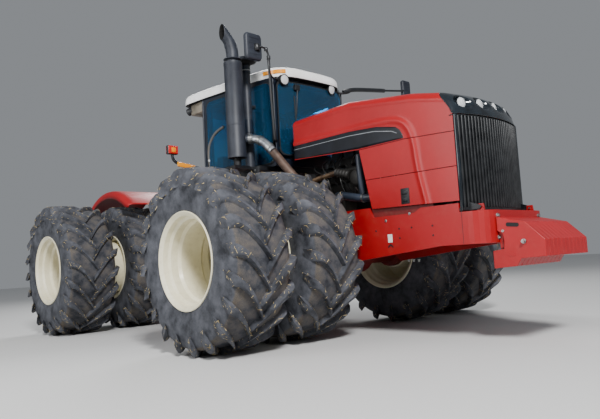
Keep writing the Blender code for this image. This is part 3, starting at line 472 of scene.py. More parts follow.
# zinc plating: a dull grey metal with fine spangle
zinc = patterned("zinc_plated_steel", "Noise", {"Scale": 90.0, "Detail": 2.0},
    (0.3, 0.7, "#8d8f90", "#c4c5c2"), dull=(0.3, 0.5), Metallic=1.0)


def barrel(middle):
    """The rolled section of one rim: flanges, bead seats and a stepped drop centre."""
    edge = rim_half
    outer = [(0.508, edge), (0.516, edge - 0.004), (0.514, edge - 0.016), (0.4826, edge - 0.034),
        (0.478, edge - 0.075), (0.452, edge - 0.11), (0.452, edge - 0.20), (0.432, edge - 0.235)]
    outer += [(r, -a) for r, a in reversed(outer)]
    inner = [(0.503, -edge + 0.003), (0.468, -edge + 0.030), (0.462, -edge + 0.085), (0.436, -edge + 0.110),
        (0.434, -edge + 0.190), (0.414, -edge + 0.225)]
    inner += [(r, -a) for r, a in reversed(inner)]
    ring = outer + inner
    return [(r, middle + a) for r, a in ring + ring[:1]]


def disc(at, hole, dish):
    """A pressed disc with a raised ring and a rolled hole."""
    front = [(hole, at + 0.010), (hole + 0.05, at + 0.012), (0.30, at + 0.012 + dish),
        (0.36, at + 0.012 + dish), (0.41, at + 0.012), (0.4225, at + 0.010)]
    return front + [(r, x - 0.022) for r, x in reversed(front)] + front[:1]


def studs(x, radius, count, size, length, material, name="studs"):
    """Hexagon nuts on threaded ends in a ring about the X axis."""
    verts, faces = [], []
    for r, low, high in ((size, 0, length * 0.55), (size * 0.5, length * 0.5, length)):
        start = len(verts)
        for a in (low, high):
            verts += [(x + a, radius + r * cos(pi * k / 3), r * sin(pi * k / 3)) for k in range(6)]
        faces += [tuple(start + k for k in range(6))[::-1], tuple(start + 6 + k for k in range(6))]
        faces += [(start + k, start + (k + 1) % 6, start + 6 + (k + 1) % 6, start + 6 + k) for k in range(6)]
    return grow(shape(name, verts, faces, 20), repeat, Count=count, Material=material)


def rim_set():
    """One wheel set's steel, on the left side of the axle line."""
    inner_middle, outer_middle = 1.08, 2.08
    parts = [turned("rolled", barrel(inner_middle), 96, 12), turned("rolled", barrel(outer_middle), 96, 12),
        turned("disc", disc(hub_x["disc"], 0.18, 0.02), 96), turned("disc",
        disc(hub_x["outer_disc"], 0.26, 0.03), 96)]
    drum = [(0.40, hub_x["disc"]), (0.40, hub_x["outer_disc"]), (0.385, hub_x["outer_disc"]),
        (0.385, hub_x["disc"]), (0.40, hub_x["disc"])]
    cap = [(0.001, 1.40), (0.09, 1.40), (0.12, 1.385), (0.155, 1.375), (0.19, 1.36), (0.20, 1.30),
        (0.25, 1.285), (0.25, 1.0), (0.23, hub_x["face"] + 0.002), (0.001, hub_x["face"] + 0.002)]
    parts += [turned("drum", drum, 64), turned("hub", cap, 64)]
    for part in parts:
        part.data.materials.append(ivory)
    parts += [studs(hub_x["disc"] + 0.012, 0.225, 10, 0.02, 0.05, zinc),
        studs(hub_x["outer_disc"] + 0.040, 0.335, 12, 0.022, 0.05, zinc)]
    return merged("rim_set", parts)


rim_set_left = rim_set()
for end, wheel_y in (("front", front_axle_y), ("rear", rear_axle_y)):
    for side_name, side in (("right", -1), ("left", 1)):
        rims = linked(f"{end}_{side_name}_deep_rims", rim_set_left.data.copy())
        rims.data.transform(Matrix.Translation((0, wheel_y, axle_z))
            @ Matrix.Rotation(0 if side > 0 else pi, 4, "Z"))
        place(rims, f"{end}_{side_name}_wheels", "ivory_paint", f"{end}_{side_name}_rims")
bpy.data.objects.remove(rim_set_left, do_unlink=True)

# ---- Axles and frames -------------------------------------------------------------------------
# Flame-cut plate frames welded up and sprayed in the same red as the hood, axles in the same coat
# under more dust, painted darker as shade. The flat plates keep their shapes; bolt heads, holes drawn
# as dark plugs of painted shade and a blank tag are added.
frame_red = dusty_enamel("red_frame_enamel", "#93030b", "#9e0c14", "#96604e", 0.40, 1.4, 0.12, 0.16)
# the axles' red is painted far darker than the hood's, as shade under the frames, with dust over it
dusty_red_in_painted_shade = dusty_enamel("dusty_red_enamel_painted_dark_as_shade", "#5e0a0c", "#741416", "#6a5440", 0.5, 3.0, 0.1, 0.5)
satin_black = dusty_enamel("satin_black_powder_coat", "#0e1014", "#1a1d22", "#5c574e", 0.42, 2.6, 0.15, 0.22)
# hard chrome: a bright mirror with faint drawn streaks
chrome = patterned("hard_chromed_rod", "Noise", {"Scale": 40.0}, (0.3, 0.7, "#b9bbc0", "#d8d9dc"),
    dull=(0.08, 0.2), Metallic=1.0)


def coat(material, *names):
    """Gives CAD pieces that stay as they are their finish."""
    for name in names:
        slots = nodes[name].data.materials
        slots.clear()
        slots.append(material)


coat(frame_red, "front_frame", "rear_frame", "pivot_yoke")
coat(dusty_red_in_painted_shade, "front_axle", "rear_axle")
coat(satin_black, "transmission", "front_driveshaft", "rear_driveshaft", "left_steering_barrel",
    "right_steering_barrel", "drawbar")
coat(chrome, "left_steering_rod", "right_steering_rod")


def stub(name, at, axis, cones, taper, material):
    """Short cones of (radius, sides, low, high), standing at a place along an axis."""
    work = bmesh.new()
    for radius, steps, low, high in cones:
        made = bmesh.ops.create_cone(work, cap_ends=True, segments=steps, radius1=radius,
            radius2=radius * taper, depth=high - low)
        bmesh.ops.translate(work, vec=(0, 0, (low + high) / 2), verts=made["verts"])
    turn = Vector((0, 0, 1)).rotation_difference(Vector(axis)).to_matrix().to_4x4()
    bmesh.ops.transform(work, matrix=Matrix.Translation(at) @ turn, verts=work.verts)
    mesh = bpy.data.meshes.new(name)
    work.to_mesh(mesh)
    work.free()
    mesh.materials.append(material)
    return linked(name, mesh)


def bolt(at, axis, size=0.012, height=0.010):
    """A zinc-plated hexagon head on a washer, standing on a face."""
    return stub("bolt", at, axis, ((size * 1.35, 16, -0.002, height * 0.2), (size, 6, height * 0.2, height)),
        0.96, zinc)


def disc_mark(at, axis, radius, depth, material):
    """A shallow plug: dark, painted shade that reads as a drilled hole."""
    return stub("hole", at, axis, ((radius, 20, -depth / 2, depth / 2),), 0.9, material)


def block(name, low, high, material, width=0.004, segments=2):
    """A part with softened edges between two opposite corners, given either way round."""
    low, high = zip(*(sorted(pair) for pair in zip(low, high)))
    work = bmesh.new()
    bmesh.ops.create_cube(work, size=1)
    bmesh.ops.scale(work, vec=[high[i] - low[i] for i in range(3)], verts=work.verts)
    bmesh.ops.translate(work, vec=[(high[i] + low[i]) / 2 for i in range(3)], verts=work.verts)
    if width:
        bmesh.ops.bevel(work, geom=work.edges[:], offset=width, segments=segments, profile=0.5,
            affect="EDGES")
    mesh = bpy.data.meshes.new(name)
    work.to_mesh(mesh)
    work.free()
    mesh.shade_smooth()
    mesh.set_sharp_from_angle(angle=radians(35))
    mesh.materials.append(material)
    return linked(name, mesh)


def bevelled(piece, width, segments=2):
    """The piece with its sharp edges rounded."""
    edge = piece.modifiers.new("edge", "BEVEL")
    edge.width = width
    edge.segments = segments
    edge.limit_method = "ANGLE"
    return plain(piece)


def flat_plate(name, points, x_low, x_high, material, soft=0.003):
    """A plate cut to a (y, z) outline, standing between two x places."""
    low, high = sorted((x_low, x_high))
    count = len(points)
    verts = [(x, f + y, z) for x in (low, high) for y, z in points]
    faces = [tuple(range(count)), tuple(reversed(range(count, 2 * count)))]
    faces += [(i, (i + 1) % count, count + (i + 1) % count, count + i) for i in range(count)]
    piece = shape(name, verts, faces, 30, material=material)
    return bevelled(piece, soft) if soft else piece


f = front_axle_y
plate_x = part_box("front_frame")[1].x
holes = [(-1.053, 1.189), (-1.371, 1.191), (-1.534, 1.191), (-1.792, 1.190), (-1.372, 1.092),
    (-1.794, 1.092)]
# printed film left blank: off-white, soiled at its edges
tag_paint = patterned("blank_white_label_film", "Noise", {"Scale": 25.0}, (0.3, 0.7, "#c9c8c2", "#e9e8e2"),
    Roughness=0.4)
trimmings = []
for side in (-1, 1):
    face = side * plate_x
    # each hole is a dark plug of painted shade, not a cut
    for y, z in holes:
        trimmings.append(disc_mark((face + side * 0.0005, f + y, z), (side, 0, 0), 0.011, 0.004,
            satin_black))
    for y, z in ((-1.52, 1.368), (-1.20, 1.320)):
        trimmings.append(bolt((face, f + y, z - 0.03), (side, 0, 0)))
    trimmings.append(block("tag", *[(x, f + y, z) for x, y, z in ((min(face, face + side * 0.002), -1.272,
        1.052), (max(face, face + side * 0.002), -1.212, 1.140))], tag_paint, 0.0005, 1))
    # a recessed panel behind the frame's notch, in the darker red painted as shade
    trimmings.append(flat_plate("inner_panel", [(-1.80, 1.27), (-0.98, 1.27), (-0.98, 1.437),
        (-1.80, 1.414)], side * 0.578, side * 0.584, dusty_red_in_painted_shade))
    trimmings.append(flat_plate("plate_seam", [(-2.138, 0.985), (-2.133, 0.985), (-2.133, 1.404),
        (-2.138, 1.404)], face, face + side * 0.0008, satin_black, 0))
    for lean in (-1, 1):                # a blank jacking-point chevron under the tag
        trimmings.append(flat_plate("chevron", [(-1.242, 1.038), (-1.242, 1.018),
            (-1.242 + lean * 0.034, 0.990), (-1.242 + lean * 0.034, 1.012)], face, face + side * 0.002,
            satin_black, 0))
    for y in (-0.72, -0.64, -0.56):
        trimmings.append(bolt((side * 0.605, f + y + 0.02, 0.838 + 0.02 * (y + 0.72)), (0, 0, -1), 0.014,
            0.03))
    for y in (-0.34, 0.34):
        for z in (0.99, 1.09):
            trimmings.append(bolt((face, f + y, z), (side, 0, 0), 0.016, 0.016))
place(merged("front_frame_bolts", trimmings), "front_body", "cast_grey")

rear_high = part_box("rear_frame")[1]
fittings = []
for side in (-1, 1):
    for y in (-1.15, -0.95, -0.75, -0.34, 0.34, 0.62, 0.80):
        fittings.append(bolt((side * rear_high.x, rear_axle_y + y, 1.02), (side, 0, 0), 0.016, 0.016))
place(merged("rear_frame_fittings", fittings), "rear_body", "cast_grey")

# tapered grease cap on each clevis pin and a pin through the drawbar
pivot_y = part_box("pivot_yoke")[0].y + 0.12
caps = [bolt((0, pivot_y, 1.279), (0, 0, 1), 0.05, 0.03), bolt((0, pivot_y, 0.681), (0, 0, -1), 0.05, 0.03)]
place(merged("pivot_pin_caps", caps), "yoke", "cast_grey")

# ---- Front cross member and weights -------------------------------------------------------------
# A fabricated bumper beam with round corners, and a pack of cast suitcase weights hung on it:
# each a thick slab with softened edges, between two end slabs with a slotted lifting hole drawn as a
# dark plate of painted shade.
coat(frame_red, "front_cross_member")
weight_red = dusty_enamel("red_cast_weight_enamel", "#98040c", "#a8101a", "#9c6458", 0.44, 2.0, 0.1, 0.14)
ballast_low, ballast_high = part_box("front_ballast_box")
slab_count = 11
slab_outline = [(-2.4010, 1.226), (-2.680, 1.157), (-2.858, 0.985), (-2.858, 0.831), (-2.622, 0.821),
    (-2.574, 0.751), (-2.342, 0.733), (-2.342, 0.900), (-2.455, 0.915), (-2.463, 0.985), (-2.455, 1.055),
    (-2.4010, 1.089)]


def fan_tree():
    """Geometry Nodes: the object's own mesh repeated along X at an even pitch, then realized."""
    tree, given = node_group("weight_pack", Count="Int", Pitch="Vector")
    points = add(tree, "GeometryNodeMeshLine", {"Count": given["Count"], "Offset": given["Pitch"]})
    copies = add(tree, "GeometryNodeInstanceOnPoints", {"Points": points.outputs[0],
        "Instance": given["Geometry"]})
    return realized(tree, copies, given)


row_of = fan_tree()
pitch = (ballast_high.x - ballast_low.x) / slab_count
slab = flat_plate("weight_slab", slab_outline, ballast_low.x + 0.0006, ballast_low.x + pitch - 0.0006,
    weight_red, 0.004)
pack = grow(slab, row_of, Count=slab_count, Pitch=(pitch, 0.0, 0.0), Material=weight_red)
# near-black painted shade, set where there is only shade: in the weights' lifting slots, behind the grille
# bars and under the muffler
painted_shade_black = dusty_enamel("painted_shade_near_black", "#07070a", "#101014", "#2c2822", 0.6, 3.0, 0.0, 0.2)
weights = [pack]
for side in (-1, 1):
    face = side * ballast_high.x
    slot_turn = 0.10
    slot = []
    for i in range(24):
        angle = 2 * pi * i / 24
        reach = 0.045 if cos(angle) > 0 else -0.045
        y, z = reach + 0.020 * cos(angle), 0.020 * sin(angle)
        slot.append((-2.560 + y * cos(slot_turn) - z * sin(slot_turn),
            1.137 + y * sin(slot_turn) + z * cos(slot_turn)))
    # the lifting slot is a dark plate of painted shade standing in for the hole
    weights.append(flat_plate("lifting_slot", slot, face - side * 0.004, face + side * 0.0012, painted_shade_black, 0))
    rim_points = [((y + 2.560) * 1.14 - 2.560, (z - 1.137) * 1.28 + 1.137) for y, z in slot]
    weights.append(flat_plate("slot_rim", rim_points, face - side * 0.004, face + side * 0.0007, weight_red,
        0))
    weights.append(bolt((face, f - 2.66, 0.977), (side, 0, 0), 0.017, 0.034))
    weights.append(bolt((face, f - 2.46, 1.085), (side, 0, 0), 0.010, 0.012))
    weights.append(flat_plate("clamp_arm", [(-2.400, 1.075), (-2.440, 1.075), (-2.440, 0.93),
        (-2.405, 0.915)], side * 0.35, side * 0.42, frame_red))
    tread_pad = [(-2.560, 0.880), (-2.500, 0.880), (-2.492, 0.862), (-2.500, 0.845), (-2.560, 0.845),
        (-2.568, 0.862)]
    weights.append(flat_plate("cast_pad", tread_pad, face - side * 0.003, face + side * 0.0025, weight_red,
        0.001))
place(merged("suitcase_weights", weights), "front_body", "red_paint", "front_ballast_box")
for_beam = []
for side in (-1, 1):
    for z in (1.03, 1.24):
        for_beam.append(bolt((side * 0.42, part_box("front_cross_member")[0].y, z), (0, -1, 0), 0.018, 0.018))
place(merged("beam_bolts", for_beam), "front_body", "cast_grey")

# ---- Hood -----------------------------------------------------------------------------------
# One tipping hood pressed from steel sheet: a crowned top with round shoulders that carries the
# black band, and two side panels a side under it. A raised rib arches over the band and runs
# down across the panels. Sprayed in red machinery enamel, polished by rain and dulled by dust.
red = dusty_enamel("red_machinery_enamel", "#96030b", "#a20a13", "#a8584c", 0.36, 1.6, 0.15, 0.10)
hood_low, hood_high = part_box("hood_shell")
hood_half = hood_high.x
hood_sheet = 0.010
panel_gap = 0.007
shoulder = 0.10
hood_front = hood_low.y - f
hood_rear = hood_high.y - f
ridge = [(0.40, 2.70), (hood_rear, 2.707), (-0.716, 2.733), (-1.617, 2.612), (-1.948, 2.538), (-2.20, 2.46)]
rib_path = [tuple(p) for p in spline([(hood_rear, 2.400), (-0.40, 2.393), (-1.02, 2.386), (-1.33, 2.372),
    (-1.50, 2.320), (-1.590, 2.215), (-1.635, 2.06), (-1.665, 1.80), (-1.742, 1.42)], 8)]
rib_half = 0.028
rib_rise = 0.013
inside_drop = 0.007


def curve_z(points, y):
    """Height of a line through (y, z) points."""
    table = sorted(points)
    return float(np.interp(y, [a for a, _ in table], [b for _, b in table]))


def relief(y, z):
    """How far the sheet stands off the flat side: the rib, and the set-back panel inside it."""
    best, side_of = 1e9, 1.0
    for (ay, az), (by, bz) in zip(rib_path, rib_path[1:]):
        dy, dz = by - ay, bz - az
        t = max(0.0, min(1.0, ((y - ay) * dy + (z - az) * dz) / (dy * dy + dz * dz)))
        away = hypot(y - ay - t * dy, z - az - t * dz)
        if away < best:
            best = away
            side_of = 1.0 if dy * (z - az) - dz * (y - ay) < 0 else -1.0
    bead = rib_rise * exp(-(best / rib_half) ** 2)
    inside = 0.5 - 0.5 * tanh(-side_of * best / 0.018)
    return bead - inside_drop * inside


def sheet_panel(name, outline_of, columns, rows, sides=(-1, 1)):
    """Side panels from a map of (u, v) to (y, z): the sheet's rim turns in, its back is hollow."""
    made = []
    edge = [0.0, 0.004]
    for side in sides:
        verts, faces = [], []
        us = [0.0] + [i / columns for i in range(columns + 1)] + [1.0]
        vs = [0.0] + [j / rows for j in range(rows + 1)] + [1.0]
        for i, u in enumerate(us):
            for j, v in enumerate(vs):
                y, z = outline_of(u, v)
                turned_in = i in (0, len(us) - 1) or j in (0, len(vs) - 1)
                x = hood_half - 0.004 + relief(y, z) - (hood_sheet if turned_in else 0.0)
                verts.append((side * x, f + y, z))
        made.append(outward(shape(name, verts, quads(len(us), len(vs), flip=True), 50), side))
    return made


def outward(piece, side, thickness=0.003):
    """Turns an open sheet's faces towards its own side and gives it its thickness."""
    lean = sum(p.normal.x * p.area for p in piece.data.polygons)
    if lean * side < 0:
        piece.data.flip_normals()
    return walled(piece, thickness)


def walled(piece, thickness, inside=0):
    """Gives an open sheet its thickness on its back; inside picks the material slot of that face."""
    wall = piece.modifiers.new("wall", "SOLIDIFY")
    wall.thickness = thickness
    wall.offset = -1.0
    wall.material_offset = inside
    return plain(piece)


low_edge = [(hood_front, 1.409), (-1.008, 1.437)]
lower_seam = [(hood_front, 1.757), (-0.95, 1.772)]
upper_seam = [(hood_front, 2.104), (-1.53, 2.135), (-0.86, 2.130), (0.0, 2.178), (hood_rear, 2.19)]
bay_edge = [(-1.013, 1.441), (-0.873, 2.149)]    # rear edge of the panels, beside the engine bay


def bay_y(z):
    (y0, z0), (y1, z1) = bay_edge
    return y0 + (y1 - y0) * (z - z0) / (z1 - z0)


def between(lower, upper, drop):
    """A panel between two lines, from the grille back to the engine bay."""
    def outline_of(u, v):
        z = 1.7
        for _ in range(3):
            y = hood_front + 0.002 + u * (bay_y(z) - hood_front - 0.002)
            z = curve_z(lower, y) + drop
            z += v * (curve_z(upper, y) - panel_gap - z)
        return y, z
    return outline_of


panels = sheet_panel("lower", between(low_edge, lower_seam, 0.0), 70, 22)
panels += sheet_panel("upper", between(lower_seam, upper_seam, 0.0), 70, 22)


def front_edge_y(z):
    """Front edge of the hood's top, where it meets the nose cap."""
    return max(hood_front + 0.002, float(np.interp(z, [2.29, 2.37, 2.80], [-2.118, -2.068, -1.758])))


def settled(u, z, rounds, height_at):
    """The (y, z) a share of the way back along the hood, where both depend on each other."""
    for _ in range(rounds):
        y = front_edge_y(z) + u * (hood_rear - front_edge_y(z))
        z = height_at(y)
    return y, z


def hood_top():
    """The crowned top with both round shoulders and the upper sides, one continuous sheet."""
    columns, drop_rows, turn_rows, top_rows = 110, 20, 8, 10
    verts, faces = [], []
    flat = hood_half - shoulder
    for i in range(-1, columns + 2):
        u = min(max(i / columns, 0.0), 1.0)
        inside = hood_sheet if i in (-1, columns + 1) else 0.0
        row = []
        for j in range(-1, drop_rows + 1):
            v = max(j, 0) / drop_rows
            y, z = settled(u, 2.3, 4, lambda y: curve_z(upper_seam, y) + v
                * (curve_z(ridge, y) - shoulder - curve_z(upper_seam, y)))
            rise = relief(y, z)
            x = hood_half - 0.004 + rise - inside - (hood_sheet if j < 0 else 0.0)
            row.append((x, y, z))
        for j in range(1, turn_rows + 1):
            angle = pi / 2 * j / turn_rows
            y, z = settled(u, 2.6, 4, lambda y: curve_z(ridge, y) - shoulder + (shoulder - inside)
                * sin(angle))
            row.append((flat - 0.004 + (shoulder - inside) * cos(angle), y, z))
        for j in range(1, top_rows + 1):
            t = 1 - j / top_rows
            y, z = settled(u, 2.6, 4, lambda y: curve_z(ridge, y) - inside + 0.026 * (1 - t * t))
            row.append((flat * t, y, z))
        row = [(-x, y, z) for x, y, z in row] + [(x, y, z) for x, y, z in reversed(row[:-1])]
        verts += [(x, f + y, z) for x, y, z in row]
    piece = shape("hood_top", verts, quads(columns + 3, len(row), flip=True), 50)
    if sum(p.normal.z * p.area for p in piece.data.polygons) < 0:
        piece.data.flip_normals()
    return walled(piece, 0.003)


hood_skin = merged("tipping_hood", [hood_top()] + panels, red)
place(hood_skin, "hood", "red_paint", "hood_shell")

# black band with its round front end: calendered vinyl film, laid in the set-back panel
band_film = patterned("black_vinyl_film", "Noise", {"Scale": 5.0, "Detail": 4.0},
    (0.35, 0.75, "#0b0d12", "#1b1f28"), Roughness=0.28, Coat_Weight=0.3)
# metallic vinyl: pale grey with a satin glint
silver_film = patterned("silver_vinyl_film", "Noise", {"Scale": 60.0}, (0.3, 0.7, "#8b8f94", "#b9bcc0"),
    Roughness=0.35, Metallic=0.6)
band_top = [(hood_rear, 2.368), (-0.755, 2.362), (-1.15, 2.337), (-1.412, 2.284), (-1.467, 2.245),
    (-1.500, 2.190), (-1.510, 2.145)]
band_low = [(hood_rear, 2.200), (0.0, 2.186), (-0.86, 2.140), (-1.510, 2.143)]
stripe_top = [(hood_rear, 2.322), (-0.755, 2.318), (-1.12, 2.296), (-1.36, 2.250), (-1.43, 2.216)]
stripe_low = [(y, z - 0.007) for y, z in stripe_top]


def film(name, lower, upper, stand_off, material):
    """A film on the hood's side between two lines, following the sheet below it."""
    made = []
    front = max(min(y for y, _ in lower), min(y for y, _ in upper))
    for side in (-1, 1):
        verts, faces = [], []
        columns, rows = 90, 8
        for i in range(columns + 1):
            t = i / columns
            y = front + (hood_rear - front) * t * t * (1.6 - 0.6 * t)
            for j in range(rows + 1):
                low, high = curve_z(lower, y), curve_z(upper, y)
                z = low + (high - low) * j / rows
                verts.append((side * (hood_half - 0.004 + relief(y, z) + stand_off), f + y, z))
        sheet = shape(name, verts, quads(columns + 1, rows + 1, flip=True), 60, material)
        made.append(outward(sheet, side))
    return made


bands = film("band", band_low, band_top, 0.0018, band_film)
bands += film("stripe", stripe_low, stripe_top, 0.0026, silver_film)
place(merged("hood_bands", bands), "hood", "black_paint")

# two draw latches a side in black nylon cups, one on each pair of panels
# moulded nylon: soft black, finely grained
black_nylon = patterned("moulded_black_nylon", "Noise", {"Scale": 1 / 0.003, "Detail": 2.0},
    (0.3, 0.7, "#101114", "#1d1e22"), grain=(0.2, 0.001), Roughness=0.45)


latches = []
for side in (-1, 1):
    face = side * (hood_half - 0.014)
    latches.append(block("cup", (face, f - 1.534, 1.445), (side * (hood_half + 0.002), f - 1.424, 1.612),
        black_nylon, 0.006))
    for low in (1.470, 1.545):
        latches.append(block("pull", (face, f - 1.515, low), (side * (hood_half + 0.012), f - 1.443,
            low + 0.045), black_nylon, 0.008, 3))
place(merged("hood_latches", latches), "hood", "trim_plastic")

# ---- Nose cap and grille ------------------------------------------------------------------------
# The nose cap is one glossy black moulding that bulges over the grille, with four oval sockets for
# round lamps. The grille is a bowed frame of upright moulded bars before a screen in painted shade.
# lacquered moulding: deep black with sharp highlights under thin dust
nose_black = patterned("gloss_black_moulding", "Noise", {"Scale": 6.0, "Detail": 5.0},
    (0.4, 0.8, "#0a1016", "#1c262e"), Roughness=0.16, Coat_Weight=0.5, Coat_Roughness=0.06)
# bare moulding: black gone slightly grey with dust, softer highlights
grille_black = patterned("satin_black_moulding", "Noise", {"Scale": 9.0, "Detail": 5.0},
    (0.35, 0.8, "#0b0d10", "#2a2c2e"), Roughness=0.38)
# metallised bowl: bright and fluted
reflector = patterned("vacuum_metallised_reflector", "Wave", {"Scale": 18.0, "Distortion": 1.5},
    (0.2, 0.8, "#c9ccd0", "#f2f3f4"), dull=(0.08, 0.2), Metallic=1.0)
# pressed lamp glass: near white, with fine prisms
lens_glass = patterned("clear_lamp_glass", "Wave", {"Scale": 40.0}, (0.0, 1.0, "#e6ebee", "#ffffff"),
    Roughness=0.05, IOR=1.5, Transmission_Weight=0.35)

grille_low, grille_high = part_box("grille")
bow = 0.10
face_y = -2.145            # grille's face at its sides, from the front axle


def bow_y(x, deeper=0.0):
    """The bowed plan of the nose: furthest forward in the middle."""
    t = x / 0.617
    return face_y - (bow + deeper) * (1 - t * t)


def nose_cap():
    """A skin from the hood's front edge over to the top of the grille, dented at each lamp."""
    top_z = curve_z(ridge, -1.948)
    flat = hood_half - shoulder
    edge = []
    for j in range(12):
        z = 2.292 + (top_z - shoulder - 2.292) * j / 12
        edge.append((-(hood_half - 0.004), z))
    for j in range(14):
        angle = pi / 2 * j / 14
        edge.append((-(flat - 0.004 + shoulder * cos(angle)), top_z - shoulder + shoulder * sin(angle)))
    for j in range(45):
        t = 1 - j / 45
        edge.append((-flat * t, top_z + 0.026 * (1 - t * t)))
    edge += [(0.0, top_z + 0.026)] + [(-x, z) for x, z in reversed(edge)]
    count = len(edge)
    rows = 46
    verts = []
    for i, (x, z) in enumerate(edge):
        start = Vector((x, front_edge_y(z) - 0.004, z))
        s = i / (count - 1)
        low_x = -0.615 + 1.23 * s
        end = Vector((low_x, bow_y(low_x, 0.004), 2.272))
        mid = Vector((0.45 * x + 0.55 * low_x, end.y + 0.012 + 0.04 * (2 * s - 1) ** 2,
            0.18 * 2.272 + 0.82 * z))
        for j in range(rows + 1):
            v = j / rows
            verts.append((1 - v) ** 2 * start + 2 * v * (1 - v) * mid + v * v * end)
    lamps = []
    for wanted in (-0.455, -0.155, 0.155, 0.455):
        index = min(range(count), key=lambda i: abs(verts[i * (rows + 1) + rows // 2].x - wanted))
        centre = verts[index * (rows + 1) + int(rows * 0.65)]
        lamps.append(centre.copy())
    for k, p in enumerate(verts):
        for centre in lamps:
            away = p - centre
            d = hypot(away.x / 0.118, away.z / 0.074)
            if d < 1:
                p.y += 0.080 * (1 - d * d) ** 0.9
                p.z -= 0.006 * (1 - d * d)
    piece = shape("skin", [(p.x, f + p.y, p.z) for p in verts], quads(count, rows + 1, flip=True), 60)
    if sum(p.normal.y * p.area for p in piece.data.polygons) > 0:
        piece.data.flip_normals()
    return walled(piece, 0.004), lamps


def round_lamp(centre, radius, ahead, glass, shell, depth=0.05):
    """A lamp: bowl and domed lens turned about its own axis, then aimed."""
    bowl = [(0.002, depth), (radius * 0.5, depth * 0.8), (radius * 0.92, 0.006), (radius, 0.0),
        (radius * 1.08, 0.0), (radius * 1.08, depth * 0.5), (radius * 0.6, depth * 1.05),
        (0.002, depth * 1.1)]
    dome = [(0.001, -0.012), (radius * 0.4, -0.010), (radius * 0.75, -0.006), (radius * 0.98, 0.0),
        (radius * 0.98, 0.003), (radius * 0.4, -0.005), (0.001, -0.007)]
    parts = []
    for profile, material in ((bowl, shell), (dome, glass)):
        piece = turned("lamp", profile, 32, 40, material=material)
        turn = Vector((-1, 0, 0)).rotation_difference(Vector(ahead)).to_matrix().to_4x4()
        piece.data.transform(Matrix.Translation(centre) @ turn)
        parts.append(piece)
    return parts


cap_skin, lamp_spots = nose_cap()
cap_skin.data.materials.clear()
cap_skin.data.materials.append(nose_black)
nose_parts = [cap_skin]
for spot in lamp_spots:
    aim = Vector((spot.x * 0.5, -1.0, 0.10)).normalized()
    nose_parts += round_lamp(Vector((spot.x, f + spot.y + 0.036, spot.z - 0.004)), 0.054, aim, lens_glass,
        reflector)
place(merged("nose_cap_moulding", nose_parts), "hood", "trim_plastic", "nose_cap")


def bar_tree():
    """Geometry Nodes: an upright bar at even steps along the object's own line, then realized."""
    tree, given = node_group("upright_bars", Count="Int", Bar="Vector")
    line = add(tree, "GeometryNodeMeshToCurve", {"Mesh": given["Geometry"]})
    steps = add(tree, "GeometryNodeCurveToPoints", {"Curve": line.outputs[0], "Count": given["Count"]},
        mode="COUNT")
    aim = add(tree, "FunctionNodeAlignRotationToVector", {"Vector": steps.outputs["Tangent"]}, axis="X",
        pivot_axis="Z")
    bar = add(tree, "GeometryNodeMeshCube", {"Size": given["Bar"]})
    copies = add(tree, "GeometryNodeInstanceOnPoints", {"Points": steps.outputs["Points"],
        "Instance": bar.outputs[0], "Rotation": aim.outputs[0]})
    return realized(tree, copies, given)


def softened(piece, width, segments=2):
    """Rounds the sharp edges of a plain piece and shades it smooth."""
    piece.data.shade_smooth()
    return bevelled(piece, width, segments)


def bowed_band(name, z_low, z_high, front, back, half, material, soft=0.006):
    """A rail that follows the bow of the nose between two heights."""
    steps = 32
    outer = [(half * (2 * i / steps - 1)) for i in range(steps + 1)]
    plan = [(x, bow_y(x) + front) for x in outer] + [(x, bow_y(x) + back) for x in reversed(outer)]
    count = len(plan)
    verts = [(x, f + y, z) for z in (z_low, z_high) for x, y in plan]
    faces = [(i, (i + 1) % count, count + (i + 1) % count, count + i) for i in range(count)]
    top = [(i, i + 1, count - 2 - i, count - 1 - i) for i in range(steps)]
    faces += top + [tuple(count + k for k in reversed(face)) for face in top]
    piece = shape(name, verts, faces, 30, material=material)
    return softened(piece, soft) if soft else piece


bar_low, bar_high = grille_low.z + 0.030, grille_high.z - 0.012
bar_half = 0.565
line = shape("bars", [], [])
bow_points = [(float(x), f + bow_y(float(x)) + 0.022, (bar_low + bar_high) / 2)
    for x in np.linspace(-bar_half, bar_half, 41)]
line.data.from_pydata(bow_points, [(i, i + 1) for i in range(40)], [])
bars = softened(grow(line, bar_tree(), Count=26, Bar=(0.026, 0.05, bar_high - bar_low),
    Material=grille_black), 0.009, 3)
grille_parts = [bars, bowed_band("sill", grille_low.z + 0.001, bar_low + 0.004, 0.0, 0.07, 0.612,
    grille_black), bowed_band("header", bar_high - 0.004, grille_high.z - 0.001, 0.006, 0.07, 0.612,
    # the screen behind the bars is painted shade
    grille_black), bowed_band("screen", bar_low, bar_high, 0.060, 0.066, 0.60, painted_shade_black, 0)]
for side in (-1, 1):
    grille_parts.append(block("side_post", (side * 0.572, f + bow_y(0.6), grille_low.z + 0.001),
        (side * 0.616, f + hood_front - 0.003, grille_high.z - 0.001), nose_black, 0.008, 3))
    x, pin_y, pin_z = 0.50, f - 2.28, 1.335            # the hood's hinge
    arm = flat_plate("hinge_arm", [(-2.150, 1.308), (-2.275, 1.312), (-2.302, 1.335), (-2.275, 1.358),
        (-2.150, 1.400)], side * (x + 0.013), side * (x + 0.028), satin_black, 0.002)
    grille_parts.append(arm)
    grille_parts.append(disc_mark((side * x, pin_y, pin_z), (1, 0, 0), 0.010, 0.045, zinc))
place(merged("upright_grille", grille_parts), "hood", "trim_plastic", "grille")

